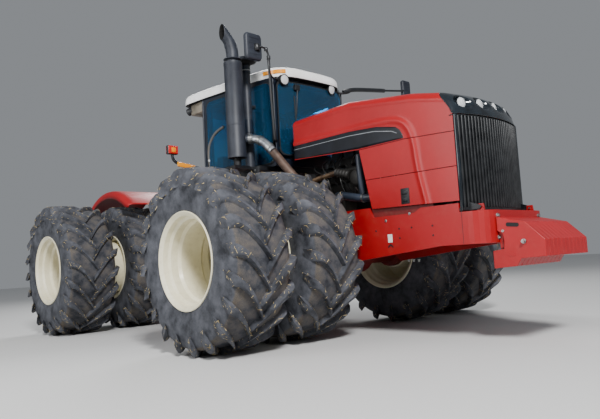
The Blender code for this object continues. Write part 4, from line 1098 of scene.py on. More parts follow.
# ---- Engine bay -----------------------------------------------------------------------------------
# A six-cylinder diesel in dark cast iron under the hood: block, valve covers, manifold, air pipes
# with rubber joints, fuel lines and a heat-tinted tube, all seen through the open bay.
# sand-cast iron: almost black, rough, with oily brown bloom; 6 mm sand grain
cast = patterned("dark_cast_iron", "Noise", {"Scale": 1 / 0.006, "Detail": 3.0},
    (0.3, 0.75, "#121315", "#33302c"), grain=(0.4, 0.002), Roughness=0.55, Metallic=0.35)
pipe_paint = dusty_enamel("blue_black_pipe_enamel", "#1d2430", "#2b3442", "#5d5a52", 0.38, 5.0, 0.2, 0.25)
# steel tube browned by heat: patchy straw and brown metal
hot_steel = patterned("heat_tinted_steel_tube", "Noise", {"Scale": 14.0, "Detail": 5.0},
    (0.32, 0.7, "#4a3c33", "#8f765c"), Metallic=0.7, Roughness=0.42)
# hose rubber: dull black with grey bloom
hose_rubber = patterned("extruded_hose_rubber", "Noise", {"Scale": 16.0, "Detail": 4.0},
    (0.35, 0.75, "#101113", "#2c2b29"), Roughness=0.6)


def pipe(name, points, radius, material, steps=6, sides=20, ridges=0, ends=True):
    """A round pipe on a smooth curve through its points; ridges swell it like a bellows."""
    path = [Vector(p) for p in spline(points, steps)]
    verts = []
    reference = Vector((0, 0, 1))
    first = (path[1] - path[0]).normalized()
    if abs(first.dot(reference)) > 0.9:
        reference = Vector((1, 0, 0))
    side = first.cross(reference).normalized()
    for i, spot in enumerate(path):
        ahead = (path[min(i + 1, len(path) - 1)] - path[max(i - 1, 0)]).normalized()
        side = (side - ahead * side.dot(ahead)).normalized()
        other = ahead.cross(side)
        wide = radius * (1 + (0.10 * cos(2 * pi * ridges * i / (len(path) - 1)) if ridges else 0.0))
        verts += [spot + wide * (cos(a) * side + sin(a) * other) for a in (2 * pi * k / sides
            for k in range(sides))]
    faces = quads(len(path), sides, round_columns=True)
    if ends:
        faces.append(tuple(reversed(range(sides))))
        faces.append(tuple(range((len(path) - 1) * sides, len(path) * sides)))
    return shape(name, verts, faces, 60, material=material)


def at_side(side, points):
    return [(side * x, f + y, z) for x, y, z in points]


bay = [block("crankcase", (-0.30, f - 1.33, 1.38), (0.30, f + 0.03, 1.86), cast, 0.02, 3),
    block("deck_plate", (-0.34, f - 1.30, 1.84), (0.34, f + 0.01, 1.93), cast, 0.01),
    block("head", (-0.27, f - 1.27, 1.92), (0.27, f - 0.02, 2.15), cast, 0.015),
    block("sump", (-0.25, f - 1.02, 1.13), (0.25, f - 0.28, 1.40), cast, 0.03, 3),
    block("front_cover", (-0.36, f - 1.35, 1.42), (0.36, f - 1.27, 2.10), cast, 0.03, 3)]
bay += [block("valve_cover", (-0.20, f - 1.235 + 0.205 * i, 2.14), (0.20, f - 1.055 + 0.205 * i, 2.30),
    pipe_paint, 0.025, 3) for i in range(6)]
for side in (-1, 1):
    for i in range(6):
        y = -1.13 + 0.205 * i
        bay.append(pipe("runner", at_side(side, [(0.26, y, 2.03), (0.33, y, 2.02), (0.37, y, 1.97)]), 0.034,
            cast, 4, 16))
        bay.append(block("flange", (side * 0.262, f + y - 0.055, 1.985), (side * 0.276, f + y + 0.055, 2.08),
            cast, 0.006))
        bay.append(pipe("injector_line", at_side(side, [(0.30, y - 0.02, 1.72), (0.345, y - 0.02, 1.80),
            (0.35, y + 0.01, 1.96), (0.31, y + 0.02, 2.10), (0.24, y + 0.02, 2.17)]), 0.006, zinc, 5, 8))
        bay.append(block("rib", (min(side * 0.295, side * 0.315), f + y - 0.012, 1.42),
            (max(side * 0.295, side * 0.315), f + y + 0.012, 1.84), cast, 0.004))
    bay.append(pipe("manifold", at_side(side, [(0.375, -1.16, 1.97), (0.375, -0.6, 1.965),
        (0.375, -0.08, 1.97)]), 0.045, cast, 4))
    bay.append(pipe("hot_tube", at_side(side, [(0.50, 0.10, 1.88), (0.50, -0.10, 1.915),
        (0.50, -0.39, 1.942)]), 0.030, hot_steel, 4))
    bay.append(pipe("bellows", at_side(side, [(0.50, -0.40, 1.94), (0.495, -0.50, 1.915),
        (0.48, -0.60, 1.885)]), 0.050, cast, 12, 20, 5))
    turbo = turned("turbo", [(0.001, -0.07), (0.07, -0.07), (0.10, -0.045), (0.118, 0.0), (0.10, 0.045),
        (0.07, 0.07), (0.001, 0.07)], 40, 60, material=cast)
    turbo.data.transform(Matrix.Translation((side * 0.45, f - 0.70, 1.84)))
    bay.append(turbo)
    bay.append(pipe("air_riser", at_side(side, [(0.50, -0.765, 2.10), (0.50, -0.77, 1.95),
        (0.49, -0.775, 1.75), (0.46, -0.775, 1.60)]), 0.040, pipe_paint, 5))
    bay.append(pipe("cooler_pipe", at_side(side, [(0.34, -0.24, 1.66), (0.44, -0.34, 1.665),
        (0.49, -0.46, 1.655), (0.50, -0.62, 1.62), (0.49, -0.80, 1.59), (0.44, -1.00, 1.60),
        (0.36, -1.20, 1.66)]), 0.048, pipe_paint, 6, 24))
    for y, z in ((-0.46, 1.655), (-0.80, 1.59)):
        bay.append(turned("clamp", [(0.0485, -0.012), (0.053, -0.012), (0.053, 0.012), (0.0485, 0.012),
            (0.0485, -0.012)], 24, 40, material=zinc, at=(side * 0.495, f + y, z), swing="Z"))
    for x, y, z, sag in ((0.40, 0.06, 2.12, 0.10), (0.43, -0.12, 2.14, 0.16), (0.41, -0.30, 2.15, 0.2)):
        bay.append(pipe("fuel_hose", at_side(side, [(x - 0.08, y, z), (x, y + 0.02, z - sag * 0.4),
            (x + 0.02, y - 0.04, z - sag), (x, y - 0.12, z - sag * 1.5),
            (x - 0.06, y - 0.18, z - sag * 2.2)]), 0.010, hose_rubber, 6, 10))
    bay.append(block("filter_head", (min(side * 0.32, side * 0.46), f - 0.14, 1.60),
        (max(side * 0.32, side * 0.46), f, 1.66), cast, 0.01))
    bay.append(turned("filter", [(0.001, 0.0), (0.05, 0.0), (0.055, 0.01), (0.055, 0.19), (0.045, 0.2),
        (0.001, 0.2)], 28, 40, material=ivory, at=(side * 0.40, f - 0.07, 1.60), swing="Y"))
place(merged("six_cylinder_engine", bay), "front_body", "cast_grey", "engine")

# radiator pack behind the grille: a folded steel frame round brazed aluminium cores
# brazed fins: grey edges between dark bands of painted shade for the gaps, drawn at 20 mm so that they show
fins_and_gap_shade = patterned("fin_edges_and_painted_gap_shade", "Wave", {"Scale": 1 / 0.02}, (0.2, 0.8, "#0c0d0e", "#3d3e3c"),
    bands="Z", Metallic=0.8, Roughness=0.5)
coat(fins_and_gap_shade, "radiator")

# ---- Cab: posts, panels and glass ---------------------------------------------------------------
# A welded steel cab, powder-coated blue-black, with rubber glazing seals round panes of tinted
# toughened glass. Its side walls splay outward to the rear.
cab_black = dusty_enamel("blue_black_cab_coat", "#0b1320", "#121d2c", "#4a4c50", 0.34, 2.4, 0.3, 0.15)
coat(cab_black, "cab_frame", "cab_door")
# gasket rubber: matt black with a grey bloom
seal_rubber = patterned("extruded_seal_rubber", "Noise", {"Scale": 20.0, "Detail": 4.0},
    (0.35, 0.8, "#08090b", "#1d1e20"), Roughness=0.62)
# tinted glass: clear deep blue, slightly uneven, hard reflections
cab_glass = patterned("blue_tinted_toughened_glass", "Noise", {"Scale": 1.3, "Detail": 3.0},
    (0.35, 0.7, "#2a7fb5", "#4d9fd0"), Roughness=0.03, IOR=1.5, Transmission_Weight=0.9)
# the hidden panes: the same glass in a paler blue, a lighter copy as painted light
glass_painted_lighter = patterned("tinted_glass_painted_lighter", "Noise", {"Scale": 1.3, "Detail": 3.0},
    (0.35, 0.7, "#7fb2c6", "#a4cdd9"), Roughness=0.03, IOR=1.5, Transmission_Weight=0.85)
coat(glass_painted_lighter, "rear_glass", "door_glass")

cab_low, cab_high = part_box("cab_frame")
cab_front, cab_rear, cab_bow = 0.50, 1.95, 0.06
half_front, half_rear = 0.64, 0.82


def cab_x(y, inset=0.0):
    """Half-width of the cab at a distance behind the front axle."""
    return half_front + (y - cab_front) / (cab_rear - cab_front) * (half_rear - half_front) - inset


def front_y(x):
    """The bowed plan of the windscreen."""
    return cab_front - cab_bow * (1 - (x / half_front) ** 2)


def rounded(low, high, radius, steps=7):
    """Corner-rounded rectangle in two coordinates, anticlockwise."""
    points = []
    for cx, cy, turn in ((high[0] - radius, low[1] + radius, -90), (high[0] - radius, high[1] - radius, 0),
            (low[0] + radius, high[1] - radius, 90), (low[0] + radius, low[1] + radius, 180)):
        for i in range(steps + 1):
            a = radians(turn + 90 * i / steps)
            points.append((cx + radius * cos(a), cy + radius * sin(a)))
    return points


def seal(world, low, high, outer, radius, width, back, front, material=None):
    """A gasket ring: square outside to cover the corner, rounded inside, set on a surface."""
    inner = rounded((low[0] + width, low[1] + width), (high[0] - width, high[1] - width), radius)
    rim = rounded(low, high, outer)
    dense = []
    for ring in (rim, inner):
        loop = []
        for k, p in enumerate(ring):
            q = ring[(k + 1) % len(ring)]
            cuts = max(1, int(dist(p, q) / 0.08))
            loop += [(p[0] + (q[0] - p[0]) * j / cuts, p[1] + (q[1] - p[1]) * j / cuts) for j in range(cuts)]
        dense.append(loop)
    count = max(len(loop) for loop in dense)
    loops = []
    for loop in dense:
        marks = [0.0]
        for k, p in enumerate(loop):
            marks.append(marks[-1] + dist(p, loop[(k + 1) % len(loop)]))
        ring = []
        for j in range(count):
            t = marks[-1] * j / count
            k = max(i for i in range(len(loop)) if marks[i] <= t + 1e-9)
            share = (t - marks[k]) / (marks[k + 1] - marks[k])
            p, q = loop[k], loop[(k + 1) % len(loop)]
            ring.append((p[0] + (q[0] - p[0]) * share, p[1] + (q[1] - p[1]) * share))
        loops.append(ring)
    rings = [[world(u, v, d) for u, v in loop] for loop, d in ((loops[0], back), (loops[0], front),
        (loops[1], front), (loops[1], back))]
    verts = [p for ring in rings for p in ring]
    faces = quads(4, count, round_rows=True, round_columns=True)
    piece = shape("seal", verts, faces, 30)
    piece.data.materials.append(material or seal_rubber)
    return piece


def on_side(side):
    return lambda y, z, d: (side * (cab_x(y) + d), f + y, z)


def on_front(x, z, d):
    return (x, f + front_y(x) - d, z)


def on_rear(x, z, d):
    return (x, f + cab_rear + d, z)


def pane(world, low, high, radius, back, front):
    """A bonded pane with rounded corners that follows the cab's surface."""
    columns = [low[0] + radius * (1 - cos(radians(15 * i))) for i in range(6)]
    columns += [low[0] + radius + (high[0] - low[0] - 2 * radius) * i / 14 for i in range(15)]
    columns += [high[0] - radius * (1 - cos(radians(75 - 15 * i))) for i in range(6)]
    verts = []
    for d in (back, front):
        for u in columns:
            edge = max(0.0, radius - min(u - low[0], high[0] - u))
            cut = radius - sqrt(max(0.0, radius ** 2 - edge ** 2))
            verts += [world(u, low[1] + cut, d), world(u, high[1] - cut, d)]
    n = len(columns)
    faces = [(2 * i, 2 * i + 2, 2 * i + 3, 2 * i + 1) for i in range(n - 1)]
    faces += [(2 * n + 2 * i, 2 * n + 2 * i + 1, 2 * n + 2 * i + 3, 2 * n + 2 * i + 2) for i in range(n - 1)]
    rim = [2 * i for i in range(n)] + [2 * i + 1 for i in reversed(range(n))]
    faces += [(a, b, b + 2 * n, a + 2 * n) for a, b in zip(rim, rim[1:] + rim[:1])]
    return shape("pane", verts, faces, 25, material=cab_glass)


side_area, front_area = ((0.555, 2.205), (1.87, 3.315)), ((-0.615, 2.305), (0.615, 3.315))
place(pane(on_side(-1), *side_area, 0.10, 0.001, 0.007), "front_body", "cab_glass", "right_side_glass")
place(pane(on_front, *front_area, 0.09, 0.001, 0.007), "front_body", "cab_glass", "windscreen")
glazing = [seal(on_side(-1), *side_area, 0.08, 0.10, 0.014, -0.002, 0.009),
    seal(on_front, *front_area, 0.07, 0.09, 0.014, -0.002, 0.009), seal(on_rear, (-0.735, 2.405),
    (0.735, 3.275), 0.01, 0.08, 0.03, -0.026, 0.004)]
for side in (-1, 1):
    rail = [(side * (cab_x(0.52) + 0.006), f + 0.515, z) for z in (2.19, 2.6, 3.0, 3.34)]
    glazing.append(pipe("post_edge", rail, 0.012, cab_black, 4, 12))
    rail = [(side * (cab_x(1.93) + 0.004), f + 1.93, z) for z in (2.19, 2.6, 3.0, 3.34)]
    glazing.append(pipe("post_edge", rail, 0.014, cab_black, 4, 12))
# wiper, washer line and the mid post's trim behind the stack
wiper = [on_front(-0.30, 3.23, 0.03), on_front(-0.33, 3.05, 0.045), on_front(-0.34, 2.86, 0.03)]
glazing.append(pipe("wiper_arm", wiper, 0.008, satin_black, 6, 10))
blade = [on_front(-0.345, 3.12, 0.014), on_front(-0.34, 2.86, 0.014), on_front(-0.33, 2.55, 0.014)]
glazing.append(pipe("wiper_blade", blade, 0.010, seal_rubber, 6, 8))
glazing.append(block("wiper_motor", on_front(-0.35, 3.20, 0.05), on_front(-0.26, 3.28, 0.0), satin_black,
    0.008))
post = seal(on_side(-1), (1.195, 2.30), (1.265, 3.26), 0.004, 0.002, 0.033, -0.018, 0.002, cab_black)
glazing.append(post)
place(merged("glazing_seals", glazing), "front_body", "black_paint")

door_seal = [seal(on_side(1), (0.735, 2.275), (1.745, 3.205), 0.02, 0.08, 0.020, -0.011, 0.004)]
plate = block("latch_plate", (cab_x(0.716) - 0.002, f + 0.693, 2.47),
    (cab_x(0.716) + 0.006, f + 0.738, 2.67), zinc, 0.003)
door_seal.append(plate)
place(merged("door_seals", door_seal), "door", "black_paint")

# ---- Roof ---------------------------------------------------------------------------------------
# One white moulded cap overhangs the cab, dark on its underside, two round white work lamps at
# its front corners, marker lamps, and a beige air unit and a work lamp under its rear right edge.
# gelcoat: clean white with a soft gloss, chalky where dust lies
roof_white = patterned("white_gelcoat_moulding", "Noise", {"Scale": 2.6, "Detail": 6.0},
    (0.45, 0.8, "#ffffff", "#e2e0d6"), Roughness=0.3, Coat_Weight=0.3, Coat_Roughness=0.1)
# lamp acrylic: saturated orange with moulded flutes
amber = patterned("amber_lamp_acrylic", "Wave", {"Scale": 30.0}, (0.1, 0.9, "#d97a00", "#f3a414"),
    Roughness=0.12, Coat_Weight=0.4)
# the same acrylic in red
lamp_red = patterned("red_lamp_acrylic", "Wave", {"Scale": 30.0}, (0.1, 0.9, "#9c0a06", "#d8231a"),
    Roughness=0.12, Coat_Weight=0.4)
# unpainted ABS: warm grey beige, mottled with dust
beige = patterned("beige_moulded_abs", "Noise", {"Scale": 9.0, "Detail": 5.0},
    (0.35, 0.75, "#8a8274", "#6a6458"), Roughness=0.5)

roof_low, roof_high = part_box("cab_roof")


def roof_plan():
    """Smoothed plan of the roof, half by half, from the front centre round to the rear."""
    right = [(0.0, 0.385), (0.28, 0.392), (0.46, 0.425), (0.575, 0.50), (0.64, 0.63), (0.69, 0.85),
        (0.76, 1.25), (0.83, 1.8), (0.865, 2.20), (0.86, 2.33), (0.80, 2.41), (0.60, 2.428), (0.0, 2.43)]
    half = [tuple(p) for p in spline(right, 6)]
    return half + [(-x, y) for x, y in reversed(half[1:-1])]


def roof_cap():
    plan = roof_plan()
    centre = Vector((0.0, 1.42))
    height = roof_high.z - roof_low.z
    profile = [(0.10, 0.012), (0.03, 0.006), (0.006, 0.0), (0.0, 0.008), (0.0, 0.05), (0.004, 0.085),
        (0.012, 0.112), (0.028, 0.134), (0.055, 0.148), (0.10, 0.157), (0.17, 0.163), (0.26, 0.166),
        (0.36, 0.168), (0.48, 0.169), (0.62, height)]
    verts, faces = [], []
    count = len(plan)
    for inset, z in profile:
        for x, y in plan:
            away = Vector((x, y)) - centre
            shrink = max(0.0, 1 - inset / min(away.length, 1.0))
            spot = centre + away * shrink
            verts.append((spot.x, f + spot.y, roof_low.z + min(z, height)))
    faces = quads(len(profile), count, round_columns=True)
    top = (len(profile) - 1) * count
    verts.append((0, f + centre.y, roof_high.z))
    faces += [(top + j, top + (j + 1) % count, len(verts) - 1) for j in range(count)]
    verts.append((0, f + centre.y, roof_low.z + 0.014))
    faces += [((j + 1) % count, j, len(verts) - 1) for j in range(count)]
    piece = shape("cap", verts, faces, 45, material=roof_white)
    # the cap's underside faces take the black seal finish
    piece.data.materials.append(seal_rubber)
    for face in piece.data.polygons:
        if face.center.z < roof_low.z + 0.02 and abs(face.normal.z) > 0.5:
            face.material_index = 1
    return piece


roof_parts = [roof_cap()]
for x in (-0.52, 0.37):
    spot = Vector((x, f + 0.425, roof_low.z - 0.045))
    roof_parts += round_lamp(spot, 0.064, Vector((0.15 * x, -1, -0.12)).normalized(), lens_glass, reflector,
        0.07)
    ring = turned("bezel", [(0.063, -0.006), (0.072, -0.006), (0.074, 0.05), (0.046, 0.085), (0.001, 0.085),
        (0.001, 0.075), (0.063, 0.04), (0.063, -0.006)], 32, 40, material=seal_rubber)
    turn = Vector((-1, 0, 0)).rotation_difference(Vector((0.15 * x, -1, -0.12)).normalized())
    ring.data.transform(Matrix.Translation(spot) @ turn.to_matrix().to_4x4())
    roof_parts.append(ring)
    roof_parts.append(block("bracket", (x - 0.02, f + 0.44, spot.z + 0.02),
        (x + 0.02, f + 0.47, roof_low.z + 0.02), satin_black, 0.003))
bend = [p for p in roof_plan() if p[0] < -0.46 and p[1] < 0.72]
rim = [(x * 1.018, y - 0.012 * max(0.0, (0.62 - y) / 0.2)) for x, y in bend]
count = len(bend)
marker = shape("corner_marker", [(x, f + y, z) for z in (3.412, 3.462) for ring in (bend, rim) for x,
    y in ring], [face for i in range(count - 1) for face in ((i, i + 1, count + i + 1, count + i),
    (2 * count + i, 3 * count + i, 3 * count + i + 1, 2 * count + i + 1),
    (count + i, count + i + 1, 3 * count + i + 1, 3 * count + i), (i, 2 * count + i, 2 * count + i + 1,
    i + 1))] + [(0, count, 3 * count, 2 * count), (count - 1, 3 * count - 1, 4 * count - 1, 2 * count - 1)],
    30, material=amber)
edge_lamp = block("edge_marker", (0.44, f + 0.452, 3.43), (0.50, f + 0.50, 3.465), lamp_red, 0.006, 3)
roof_parts += [marker, edge_lamp]
unit = block("air_unit", (-0.80, f + 1.975, 3.20), (-0.10, f + 2.30, roof_low.z + 0.01), beige, 0.02, 3)
roof_parts.append(unit)
work = Vector((-0.80, f + 2.36, 3.27))
roof_parts += round_lamp(work, 0.052, Vector((-0.3, 1, -0.25)).normalized(), lens_glass, satin_black, 0.08)
roof_parts += round_lamp(Vector((0.74, f + 2.33, 3.27)), 0.052, Vector((0.3, 1, -0.25)).normalized(),
    lens_glass, satin_black, 0.08)
for x in (-0.79, 0.74):
    roof_parts.append(block("lamp_bracket", (x - 0.015, f + 2.29, 3.28),
        (x + 0.015, f + 2.34, roof_low.z + 0.01), satin_black, 0.003))
place(merged("roof_cap", roof_parts), "front_body", "roof_plastic", "cab_roof")

# ---- Inside the cab --------------------------------------------------------------------------------
# Dark trim panels and a headliner line the steel; the steering column carries a thin-rimmed wheel,
# and a console with levers stands on the seat's right.
# cab trim: dark grey with a 4 mm leather grain
trim_grey = patterned("grained_grey_trim", "Noise", {"Scale": 1 / 0.004, "Detail": 2.0},
    (0.3, 0.7, "#26282b", "#34373a"), grain=(0.3, 0.0006), Roughness=0.7)
floor_z = cab_low.z + 0.066


def rim_wheel(hub, tilt, radius):
    """A steering wheel: a round rim, three spokes and a centre pad."""
    ring = turned("rim", [(radius + 0.014 * cos(a), 0.014 * sin(a)) for a in (2 * pi * k / 12
        for k in range(13))], 40, 60)
    pad = turned("pad", [(0.001, -0.02), (0.05, -0.018), (0.058, 0.0), (0.05, 0.03), (0.001, 0.04)], 28, 50)
    pieces = [ring, pad]
    for k in range(3):
        a = 2 * pi * k / 3
        spoke = [(0.004, 0.04 * sin(a), 0.04 * cos(a)), (0.010, 0.11 * sin(a), 0.11 * cos(a)),
            (0.0, radius * sin(a), radius * cos(a))]
        pieces.append(pipe("spoke", spoke, 0.010, trim_grey, 3, 8))
    for piece in pieces:
        piece.data.materials.clear()
        piece.data.materials.append(trim_grey)
        piece.data.transform(Matrix.Translation(hub) @ tilt @ Matrix.Rotation(pi / 2, 4, "Y"))
    return pieces


wheel_hub = Vector((0, f + 0.82, floor_z + 0.52))
tilt = Matrix.Rotation(radians(-35), 4, "X")
column = [flat_plate("console", [(0.64, floor_z), (0.80, floor_z), (0.845, floor_z + 0.44),
    (0.80, floor_z + 0.49), (0.70, floor_z + 0.50)], -0.125, 0.125, trim_grey, 0.02),
    pipe("column", [(0, f + 0.745, floor_z + 0.40), (0, f + 0.79, floor_z + 0.475), tuple(wheel_hub)], 0.024,
    trim_grey, 4, 16), block("dash", (-0.11, f + 0.685, floor_z + 0.47), (0.11, f + 0.765, floor_z + 0.60),
    trim_grey, 0.02, 3)]
column += rim_wheel(wheel_hub, tilt, 0.186)
place(merged("steering_wheel", column), "front_body", "trim_plastic", "steering_column")

lining = [block("right_console", (-0.56, f + 1.0, floor_z), (-0.34, f + 1.70, floor_z + 0.42), trim_grey,
    0.03, 3), block("rear_shelf", (-0.66, f + 1.72, floor_z), (0.62, f + 1.87, floor_z + 0.26), trim_grey,
    0.02), block("screen", (-0.56, f + 0.86, floor_z + 0.60), (-0.36, f + 0.90, floor_z + 0.78), satin_black,
    0.008)]
lining.append(pipe("screen_arm", [(-0.46, f + 1.05, floor_z + 0.40), (-0.47, f + 0.96, floor_z + 0.52),
    (-0.46, f + 0.89, floor_z + 0.64)], 0.012, satin_black, 4, 10))
for k in range(4):
    x = -0.49 + 0.04 * k
    lining.append(pipe("lever", [(x, f + 1.22, floor_z + 0.41), (x, f + 1.20, floor_z + 0.50)], 0.007,
        satin_black, 3, 8))
    knob = turned("knob", [(0.001, -0.016), (0.012, -0.012), (0.016, 0.0), (0.012, 0.014), (0.001, 0.018)],
        16, 50)
    knob.data.materials.append(lamp_red if k == 1 else trim_grey)
    knob.data.transform(Matrix.Translation((x, f + 1.198, floor_z + 0.515))
        @ Matrix.Rotation(pi / 2, 4, "Y"))
    lining.append(knob)
liner_z = cab_high.z - 0.05
plan = [(-0.52, 0.60), (0.52, 0.60), (0.72, 1.86), (-0.72, 1.86)]
headliner = shape("headliner", [(x, f + y, z) for z in (liner_z, liner_z + 0.03) for x, y in plan],
    [(0, 1, 2, 3), (7, 6, 5, 4)] + [(i, (i + 1) % 4, 4 + (i + 1) % 4, 4 + i) for i in range(4)], 30,
    material=trim_grey)
lining.append(softened(headliner, 0.01))
place(merged("cab_lining", lining), "front_body", "trim_plastic")

# ---- Seat ------------------------------------------------------------------------------------------
# An air-sprung driver's seat: two foam cushions in dark woven cloth, sewn with two channels, on a
# pressed steel pan over a rubber bellows.
cloth, tree, shader = finish("dark_woven_seat_cloth", Roughness=0.92, Sheen_Weight=0.35)
coords = add(tree, "ShaderNodeTexCoord").outputs["Object"]
weave_scale = 1 / 0.006      # 6 mm ribs, coarser than the real 2 mm so that they show
warp = add(tree, "ShaderNodeTexWave", {"Vector": coords, "Scale": weave_scale}, bands_direction="X")
weft = add(tree, "ShaderNodeTexWave", {"Vector": coords, "Scale": weave_scale}, bands_direction="Z")
weave = add(tree, "ShaderNodeMath", {0: warp.outputs[0], 1: weft.outputs[0]}, operation="MULTIPLY")
tree.links.new(ramp(tree, weave.outputs[0], 0.1, 0.8, "#15181d", "#2c3138"), shader.inputs[0])
tree.links.new(add(tree, "ShaderNodeBump", {"Strength": 0.4, "Distance": 0.001,
    "Height": weave.outputs[0]}).outputs[0], shader.inputs["Normal"])


def cushion(name, low, high, channels, lean=0.0, pivot=None, most=0.016):
    """A foam cushion blown up by cloth simulation, its seams drawn in after."""
    piece = block("form", [a + 0.012 for a in low], [a - 0.012 for a in high], cloth, 0.02, 3)
    remesh = piece.modifiers.new("even", "REMESH")
    remesh.mode = "VOXEL"
    remesh.voxel_size = 0.012
    piece = plain(piece)
    before = [v.co.copy() for v in piece.data.vertices]
    soft = piece.modifiers.new("fill", "CLOTH")
    soft.settings.use_pressure = True
    soft.settings.uniform_pressure_force = 4.0
    soft.settings.effector_weights.gravity = 0.0
    soft.point_cache.frame_end = 20
    for step in range(1, 21):
        bpy.context.scene.frame_set(step)
    blown = piece.evaluated_get(bpy.context.evaluated_depsgraph_get())
    moved = [v.co.copy() for v in blown.data.vertices]
    piece.modifiers.clear()
    bpy.context.scene.frame_set(1)
    for vertex, old, new in zip(piece.data.vertices, before, moved):
        step = new - old
        vertex.co = old + step * min(1.0, most / max(step.length, 1e-6))
    middle = (Vector(low) + Vector(high)) / 2
    for vertex in piece.data.vertices:
        for at in channels:
            d = abs(vertex.co.x - middle.x - at)
            if d < 0.02:
                pull = (1 - d / 0.02) ** 2 * 0.010
                away = vertex.co - middle
                vertex.co -= Vector((0, away.y, away.z)).normalized() * pull
    piece.data.shade_smooth()
    if lean:
        turn = Matrix.Translation(pivot) @ Matrix.Rotation(lean, 4, "X") @ Matrix.Translation(-pivot)
        piece.data.transform(turn)
    piece.name = name
    return piece


seat_y = f + 1.30
squab = cushion("seat_cushion", (-0.25, seat_y - 0.27, floor_z + 0.28),
    (0.25, seat_y + 0.22, floor_z + 0.40), (-0.12, 0.12))
hinge = Vector((0, seat_y + 0.12, floor_z + 0.38))
rest = cushion("seat_back", (-0.23, seat_y + 0.10, floor_z + 0.40), (0.23, seat_y + 0.215, floor_z + 0.97),
    (-0.11, 0.11), radians(-10), hinge)
for pad in (squab, rest):
    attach(pad, "front_body")
base = [block("pan", (-0.23, seat_y - 0.22, floor_z + 0.24), (0.23, seat_y + 0.20, floor_z + 0.28),
    satin_black, 0.012)]
for k in range(5):
    z = floor_z + 0.035 + 0.045 * k
    base.append(turned("fold", [(0.001, -0.018), (0.13, -0.018), (0.155, 0.0), (0.13, 0.018),
        (0.001, 0.018)], 32, 40, material=seal_rubber, at=(0, seat_y, z), swing="Y"))
for side in (-1, 1):
    base.append(pipe("armrest", [(side * 0.27, seat_y + 0.22, floor_z + 0.52),
        (side * 0.27, seat_y + 0.10, floor_z + 0.54), (side * 0.27, seat_y - 0.12, floor_z + 0.54)], 0.028,
        trim_grey, 5, 14))
    base.append(block("arm_bracket", (side * 0.27 - 0.012, seat_y + 0.17, floor_z + 0.26),
        (side * 0.27 + 0.012, seat_y + 0.24, floor_z + 0.52), satin_black, 0.004))
base.append(block("seat_link", (-0.28, seat_y + 0.17, floor_z + 0.25), (0.28, seat_y + 0.22, floor_z + 0.29),
    satin_black, 0.006))
place(merged("seat_frame", base), "front_body", "black_paint", "operator_seat")

# ---- Exhaust muffler, its pipe and the air intake -------------------------------------------------
# The muffler is a rolled steel can in heat-proof dark grey, with a flat rim and a curved spout cut
# upright at its tip. A bright elbow and two band clamps lead to the heat-tinted pipe from the engine.
heat_coat, tree, shader = finish("heatproof_dark_grey_coat", Roughness=0.52)
coords = add(tree, "ShaderNodeTexCoord").outputs["Object"]
chalk = add(tree, "ShaderNodeTexNoise", {"Vector": coords, "Scale": 5.0, "Detail": 8.0, "Roughness": 0.62})
specks = add(tree, "ShaderNodeTexNoise", {"Vector": coords, "Scale": 1 / 0.006, "Detail": 2.0})
mixed = add(tree, "ShaderNodeMath", {0: chalk.outputs[0], 1: specks.outputs[0]}, operation="MULTIPLY")
tree.links.new(ramp(tree, mixed.outputs[0], 0.16, 0.42, "#191d27", "#343943"), shader.inputs[0])
tree.links.new(add(tree, "ShaderNodeBump", {"Strength": 0.25, "Distance": 0.001,
    "Height": specks.outputs[0]}).outputs[0], shader.inputs["Normal"])
# soot inside the spout, and painted shade under the intake's rain cap: no reflection at all
soot_and_painted_shade = patterned("soot_and_painted_shade_black", "Noise", {"Scale": 60.0}, (0.3, 0.8, "#020203", "#0d0c0b"),
    Roughness=0.95)
# aluminised tube: silvery, cloudy from heat
bright_steel = patterned("aluminised_exhaust_steel", "Noise", {"Scale": 22.0, "Detail": 6.0},
    (0.32, 0.7, "#8c9096", "#c6c9cd"), Metallic=0.85, Roughness=0.34)
# bare tube next to the engine: chocolate brown scale, little shine
rusty = patterned("heat_browned_exhaust_steel", "Noise", {"Scale": 11.0, "Detail": 8.0},
    (0.33, 0.7, "#3a2d27", "#6b564a"), Metallic=0.35, Roughness=0.6)

stack_x, stack_y, stack_top = -1.05, f + 0.84, 3.565
stack_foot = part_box("exhaust_muffler")[0].z


def upright(name, profile, x, y, material, steps=64, smooth=40):
    """A part turned about an upright line: (radius, height) pairs."""
    piece = turned(name, [(r, z) for r, z in profile], steps, smooth, material=material)
    piece.data.transform(Matrix.Translation((x, y, 0)) @ Matrix.Rotation(-pi / 2, 4, "Y"))
    piece.data.update()
    return piece


